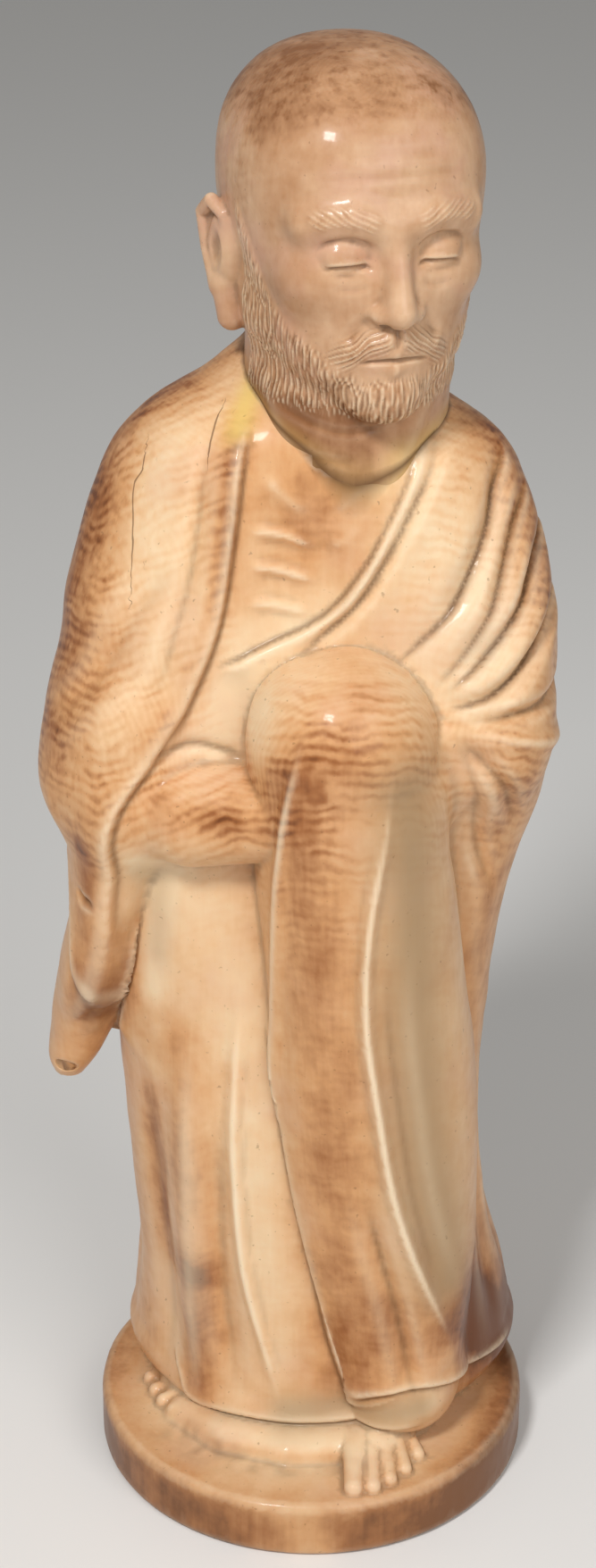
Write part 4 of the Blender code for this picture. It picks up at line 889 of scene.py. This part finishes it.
head = {
    "piece": "headAndNeck", "node": "head", "slot": "rosy_ivory",
    "grain": 0.2, "triangles": 185000,
    "centre": (4.6, -1.5, 177.6), "turn": 17.0, "nod": 7.0,      # degrees
    "neckRounding": 5.5,
    "cranium": ((0.0, 2.2, 4.2), (15.2, 17.6, 14.9)),
    "skull": [                   # centre, radii, blend
        ((0.0, 5.0, -2.6), (13.2, 13.0, 13.4), 3.0),
        ((0.0, -4.0, -5.5), (12.8, 13.2, 14.3), 3.0),
        ((0.0, -6.6, -12.6), (10.6, 10.0, 8.0), 3.0),
    ],
    # paired forms are given for the figure's left side
    "pairedBalls": [
        ((7.4, -10.4, -3.8), (4.4, 4.0, 3.4), 3.0),
        ((14.4, 3.2, -4.6), (2.0, 3.2, 5.0), 1.0),
        ((9.6, -1.0, -11.0), (3.8, 5.4, 5.0), 3.0),
    ],
    "eyeSocket": [((5.6, -17.2, 0.2), (3.4, 2.4, 2.2), 2.0)],
    "pairedLimbs": [             # blend, points
        (2.6, [(9.6, -11.8, 3.2, 1.6), (5.0, -14.7, 4.4, 1.5), (0.0, -15.4, 3.4, 1.4)]),
        (0.7, [(14.4, 1.4, -2.6, 0.5), (15.4, 1.8, -0.4, 0.7), (16.3, 3.8, 0.7, 0.85),
               (16.7, 5.9, -1.4, 0.85), (16.2, 5.4, -5.8, 0.8), (15.3, 3.4, -9.8, 1.1)]),
        (0.7, [(15.4, 3.8, -2.4, 0.4), (15.7, 4.0, -4.6, 0.5), (15.0, 2.8, -8.0, 0.5)]),
        (0.8, [(14.6, 3.0, -9.4, 1.7), (13.8, 2.4, -13.4, 1.8)]),
        (1.0, [(0.8, -17.2, -9.4, 1.1), (4.4, -15.6, -10.8, 1.2), (6.2, -13.8, -14.2, 1.1)]),
    ],
    "smallBalls": [
        ((2.0, -16.8, -6.3), (1.4, 1.9, 1.2), 0.8),
        ((5.5, -13.6, -0.2), (3.0, 2.3, 2.2), 0.5),
    ],
    "hollows": [                 # ear shell and nostril
        ((16.6, 2.2, -5.0), (1.1, 1.5, 2.6), 0.5),
        ((1.6, -18.2, -7.5), (0.7, 1.0, 0.6), 0.3),
    ],
    "limbs": [
        (1.2, [(0.0, -15.6, 2.4, 1.2), (0.0, -17.2, -2.2, 1.5), (0.0, -18.4, -5.8, 1.9)]),
        (2.5, [(0.0, -11.6, -13.4, 6.4), (0.0, -13.4, -16.8, 4.6)]),
        (0.5, [(-3.0, -16.3, -11.3, 0.7), (0.0, -17.4, -11.0, 0.9), (3.0, -16.3, -11.3, 0.7)]),
        (0.5, [(-2.4, -16.2, -12.8, 0.8), (0.0, -17.1, -13.1, 1.1), (2.4, -16.2, -12.8, 0.8)]),
    ],
    "lines": {                   # height, width, path of (across, up), the same on both sides
        "edges": [],
        "grooves": [
            (0.38, 0.28, [(2.4, -1.3), (3.6, -1.0), (5.4, -0.95), (7.0, -1.1), (8.6, -1.7)]),
            (0.28, 0.40, [(2.3, 0.3), (3.6, 1.7), (5.6, 2.2), (7.8, 1.6), (9.3, 0.2)]),
            (0.18, 0.55, [(2.8, -2.7), (4.8, -3.6), (7.6, -3.4)]),
            (0.30, 0.80, [(2.9, -6.4), (4.4, -8.4), (5.8, -10.6)]),
            (0.38, 0.30, [(-1.5, -12.0), (0.0, -11.9), (1.6, -11.95), (3.2, -12.15), (4.5, -12.5)]),
            (0.25, 0.60, [(0.0, -7.4), (0.0, -8.8), (0.0, -10.6)]),
            (0.12, 0.60, [(-2.0, 8.8), (2.0, 8.9), (6.0, 8.8), (9.0, 8.0)]),
            (0.10, 0.60, [(-2.0, 11.2), (2.0, 11.3), (7.0, 10.9)]),
        ],
        "ridges": [
            (0.22, 0.35, [(2.5, -0.9), (3.8, -0.5), (5.5, -0.45), (7.1, -0.6), (8.5, -1.2)]),
            (0.16, 0.35, [(2.9, -1.8), (4.4, -1.75), (6.4, -1.8), (8.0, -2.2)]),
        ],
    },
    "throat": {                  # as the robe's folds, about the neck's own axis
        "edges": [],
        "grooves": [(0.25, 0.6, [(-50, 158), (-20, 154.5), (10, 153.5), (40, 157)]),
                    (0.20, 0.6, [(-46, 153), (-20, 150.5), (10, 149.5)])],
        "ridges": [(0.7, 1.8, [(-64, 168), (-46, 158), (-26, 149), (-12, 143)]),
                   (0.7, 1.8, [(66, 168), (50, 158), (34, 150), (20, 144)])],
    },
    "beardTop": [(0, -14.4), (12, -14.6), (22, -13.6), (34, -11.4), (48, -9.6), (62, -6.0),
                 (74, -0.5), (82, 2.0)],     # bearing, height of the beard's edge
    "browPath": [(2.0, 3.6), (4.6, 4.9), (7.6, 4.8), (10.2, 3.4)],
    "moustachePath": [(0.6, -9.4), (3.0, -9.9), (5.2, -11.2), (6.6, -13.6)],
    "hair": {                    # noise sizes and hair spacings in mm, strands in degrees round the head
        "wander": (2.2, 2.2, 5.0), "tangle": (0.9, 0.9, 2.4), "clump": 2.6,
        "strand": 3.4, "fineStrand": 1.9, "moustacheHair": 0.65, "fineHair": 0.37, "browHair": 0.7,
        "beardFade": 1.2, "moustacheWidth": 1.5, "browWidth": 1.1, "endFade": 0.15,
    },
    "relief": {
        "beard": 0.30, "strands": 0.10, "moustache": 0.05, "brow": 0.18, "browHairs": 0.04,
        "waves": (0.05, 5.0), "toolMarks": (0.025, (0.9, 0.9, 2.0)),     # depth, size
    },
    "amounts": {                 # of stain, of wear and painted highlight on the hair and creases, of grime and painted shade in the hair, and of glue
        "base": 0.42, "hair": 0.08, "scalp": 0.12, "middle": -0.06, "left": 0.14, "right": 0.14,
        "ear": -0.30, "throat": 0.10, "throatFoot": 0.34, "glue": 0.2, "leftGlue": 0.35,
        "creaseWearAndHighlight": 0.4, "hairWearAndHighlight": 0.20, "beardDirtAndShade": 0.15, "moustacheDirtAndShade": 0.12,
    },
    "zones": {                   # in mm or degrees, from where each starts to where it is full
        "front": (-7.5, -10.5), "throat": (-17.0, -21.0), "skin": (-21.5, -19.0), "sideburn": (80, 86),
        "crown": (7.0, 12.0), "back": (60, 80), "backUp": (-2.0, 3.0), "aboveNeck": (-20.0, -14.0),
        "earSide": (12.5, 14.5), "earUp": (-12.0, -8.0), "middle": (-13.0, -17.0),
        "left": (30, 90), "right": (-20, -60), "glue": (1.6, 0.3), "deepGlue": (3.0, 0.8),
        "leftGlue": (14, 34), "throatFoot": (8.0, 3.0), "throatRight": (30, 10),
    },
    "bands": (0.25, 0.35),       # ripples on the face, and how much more on the scalp
    "mottled": 0.25, "flowDeep": 0.4, "throatReach": 12.0, "seamReach": 3,
    "neckExtra": 0.4, "neckBlend": 1.2,
    "look": dict(robe["look"], **{
        "colours": [(0.0, (0.72, 0.49, 0.31)), (0.30, (0.60, 0.375, 0.225)), (0.60, (0.46, 0.245, 0.125)),
                    (0.90, (0.24, 0.10, 0.04))],
        "rippleAmount": 0.12, "ringSpacing": 0.0005, "grainCentre": (-0.004, 0.010, 0.0), "seamWidth": 0.45,
        "tuftAmount": 0.26, "cloudAmount": 0.6, "mottleAmount": 0.5,
        "rosy": (0.56, 0.31, 0.22), "rosyAmount": 0.5, "rosyScale": 110,
        "roughness": 0.32, "coat": 0.16,
    }),
}


def headTurn():
    turn = Matrix.Rotation(math.radians(head["turn"]), 3, "Z")
    return np.array(turn @ Matrix.Rotation(math.radians(head["nod"]), 3, "X"))


def headDistance(p):
    q = (p - np.array(head["centre"])) @ headTurn()
    folded = q.copy()
    folded[:, 0] = np.abs(q[:, 0])
    d = craniumDistance(q, *head["cranium"])
    d = withBalls(d, q, head["skull"])
    d = withBalls(d, folded, head["pairedBalls"])
    d = withBalls(d, folded, head["eyeSocket"], cut)
    d = withLimbs(d, folded, head["pairedLimbs"])
    d = withBalls(d, folded, head["smallBalls"])
    d = withLimbs(d, q, head["limbs"])
    d = withBalls(d, folded, head["hollows"], cut)
    neck = robe["neck"]
    radius = neck["radius"] + head["neckExtra"]
    throat = roundBarDistance(p, neck["foot"], neck["top"], radius, head["neckRounding"])
    return join(d, throat, head["neckBlend"])


def strandsOf(q, wide, wander):
    # wavy strands round the jaw: two waves that bend against each other, in clumps
    hair, z = head["hair"], q[:, 2]
    tangle = grainNoise(q, hair["tangle"])
    curl = 7.0 * wander + 1.5 * np.sin(0.9 * z + 4.0 * wander)
    strands = np.sin(wide * fullTurn / hair["strand"] + curl + 2.5 * tangle + 0.4 * z)
    strands += 0.7 * np.sin(wide * fullTurn / hair["fineStrand"] - curl + 2.0 * tangle - 0.6 * z)
    return strands * (0.5 + 1.2 * np.abs(grainNoise(q, hair["clump"])))


def finishHead(p, lean):
    q = (p - np.array(head["centre"])) @ headTurn()
    x, y, z = q.T
    hair, relief, amounts, zones = (head[key] for key in ("hair", "relief", "amounts", "zones"))
    across = np.abs(x)
    degree = np.full(len(p), math.degrees(1.0))              # lines are given in mm here
    front = smoothStep(*zones["front"], y)
    rise, shade, pale = foldsOver(across, z, degree, head["lines"])
    rise, shade, pale = rise * front, shade * front, pale * front

    def nearLine(path, width):
        near, d, share = lineOn(across, z, degree, path, width)
        mask = np.zeros(len(p))
        mask[near] = np.exp(-(d / width) ** 4) * endFade(share, hair["endFade"])
        return mask * front

    axis = np.array(robe["neck"]["foot"])
    neckBearing = np.degrees(np.arctan2(p[:, 0] - axis[0], axis[1] - p[:, 1]))
    throatReach = np.full(len(p), head["throatReach"])
    tendons, creases, tops = foldsOver(neckBearing, p[:, 2], throatReach, head["throat"])
    throat = smoothStep(*zones["throat"], z)
    rise, shade, pale = rise + tendons * throat, shade + creases * throat, pale + tops * throat

    # beard, moustache, brows and the shaven scalp
    azimuth = np.degrees(np.arctan2(across, -y))
    wide = np.degrees(np.arctan2(x, -y))
    top = np.interp(azimuth, *np.array(head["beardTop"]).T)
    onSkin = smoothStep(*zones["skin"], z) * (1 - smoothStep(*zones["sideburn"], azimuth))
    beard = smoothStep(top + hair["beardFade"], top - hair["beardFade"], z) * onSkin
    moustache = nearLine(head["moustachePath"], hair["moustacheWidth"])
    brow = nearLine(head["browPath"], hair["browWidth"])
    wander = grainNoise(q, hair["wander"])
    strands = strandsOf(q, wide, wander)
    slanted = (z + 0.75 * across + 0.5 * wander) * fullTurn
    hairs = np.sin(slanted / hair["moustacheHair"]) + 0.5 * np.sin(slanted / hair["fineHair"])
    browHairs = np.sin((z - 0.55 * across + 0.4 * wander) * fullTurn / hair["browHair"])
    beardOnly = beard * (1 - moustache)
    rise += (relief["beard"] * beard + relief["strands"] * beardOnly * strands
             + relief["moustache"] * moustache * hairs
             + brow * (relief["brow"] + relief["browHairs"] * browHairs))
    scalp = smoothStep(*zones["crown"], z + 0.45 * y)
    scalp = np.clip(scalp + smoothStep(*zones["back"], azimuth) * smoothStep(*zones["backUp"], z), 0, 1)
    depth, size = relief["toolMarks"]
    toolMarks = depth * grainNoise(q, size) * (0.5 + scalp)
    depth, size = relief["waves"]
    rise += smoothStep(*zones["aboveNeck"], z) * (depth * grainNoise(q, size) + toolMarks)

    inEar = smoothStep(*zones["earSide"], across) * smoothStep(*zones["earUp"], z)
    hairy = np.clip(beard * 0.7 + moustache * 0.5 + brow * 0.5 + scalp * 0.5, 0, 1)
    stain = amounts["base"] + amounts["hair"] * hairy + amounts["scalp"] * scalp
    stain += amounts["middle"] * smoothStep(*zones["middle"], y) * (1 - scalp)
    stain += amounts["left"] * smoothStep(*zones["left"], wide)
    stain += amounts["right"] * smoothStep(*zones["right"], wide) + amounts["ear"] * inEar
    # pale on the strands' crests is painted highlight with wear; shade between them is painted shade with
    # grime
    combed = beardOnly * np.clip(strands, 0, 1) + moustache * np.clip(hairs, 0, 1)
    pale = pale * amounts["creaseWearAndHighlight"] + amounts["hairWearAndHighlight"] * combed
    shade = shade + amounts["beardDirtAndShade"] * beardOnly * np.clip(-strands, 0, 1.2)
    shade += amounts["moustacheDirtAndShade"] * moustache * np.clip(-hairs, 0, 1)

    # the neck: glue, and darker towards the seam and under the beard, partly stain and partly painted shade
    seam = np.clip(robeDistance(p), -head["seamReach"], head["seamReach"])
    glue = amounts["leftGlue"] * throat * smoothStep(*zones["deepGlue"], seam)
    glue *= smoothStep(*zones["leftGlue"], neckBearing)
    glue += amounts["glue"] * smoothStep(*zones["glue"], seam)
    foot = smoothStep(*zones["throatFoot"], seam) * smoothStep(*zones["throatRight"], neckBearing)
    stain += throat * (amounts["throat"] + amounts["throatFoot"] * foot)
    onFace, onScalp = head["bands"]
    bands = (onFace + onScalp * scalp) * (1 - throat)
    nothing = np.zeros(len(p))
    return rise, {"stain": stain, "grey": nothing, "glue": glue, "pale": pale, "shade": shade,
                  "crack": nothing + farFromCracks, "besideCrack": nothing, "bands": bands,
                  "flow": z + head["flowDeep"] * y, "seam": seam, "mottled": head["mottled"] + hairy}


def makeHead():
    piece = copyOfNode(head["node"], head["piece"])
    grain = head["grain"] * 1
    remesh(piece, grain)
    carve(piece.data, headDistance, finishHead, grain, passes=5)
    thin(piece, head["triangles"])
    return piece


finishPiece(makeRobe(), robe, makeIvory("stainedIvory", robe["look"]))
finishPiece(makeHead(), head, makeIvory("rosyIvory", head["look"]))


studio = {
    "floor": 3.0, "floorColour": (0.82, 0.81, 0.79), "floorRoughness": 0.9,
    "worldColour": (1.0, 0.99, 0.97), "world": 0.25,
    "lights": [                  # name, place, aim, size, watts
        ("keyLight", (-0.22, -0.50, 0.72), (0.0, 0.0, 0.11), 0.14, 4.5),
        ("fillLight", (0.35, -0.60, 0.50), (0.0, 0.0, 0.12), 0.50, 2.6),
    ],
    "camera": (-0.0019, -0.3318, 0.260), "pitch": 25.5, "lens": 65.19, "sensor": 36.0, "nearest": 0.01,
}


def makeStudio():
    bpy.ops.object.select_all(action="DESELECT")
    bpy.ops.mesh.primitive_plane_add(size=studio["floor"], location=(0, 0, 0))
    floor = bpy.context.object
    floor.name = "floor"
    paper = bpy.data.materials.new("paper")
    paper.use_nodes = True
    shader = paper.node_tree.nodes["Principled BSDF"]
    shader.inputs["Base Color"].default_value = (*studio["floorColour"], 1)
    shader.inputs["Roughness"].default_value = studio["floorRoughness"]
    floor.data.materials.append(paper)
    for name, place, aim, size, watts in studio["lights"]:
        lamp = bpy.data.lights.new(name, "AREA")
        lamp.size = size
        lamp.energy = watts
        item = bpy.data.objects.new(name, lamp)
        item.location = place
        item.rotation_euler = (Vector(aim) - Vector(place)).to_track_quat("-Z", "Y").to_euler()
        bpy.context.collection.objects.link(item)
    world = bpy.data.worlds.new("softRoom")
    world.use_nodes = True
    background = world.node_tree.nodes["Background"]
    background.inputs["Color"].default_value = (*studio["worldColour"], 1)
    background.inputs["Strength"].default_value = studio["world"]
    bpy.context.scene.world = world
    bpy.context.scene.view_settings.view_transform = "Standard"
    view = bpy.data.cameras.new("camera")
    view.lens = studio["lens"]
    view.sensor_width = studio["sensor"]
    view.clip_start = studio["nearest"]
    camera = bpy.data.objects.new("camera", view)
    camera.location = studio["camera"]
    camera.rotation_euler = (math.radians(90 - studio["pitch"]), 0, 0)
    bpy.context.collection.objects.link(camera)
    bpy.context.scene.camera = camera
    print("studio ready")


makeStudio()
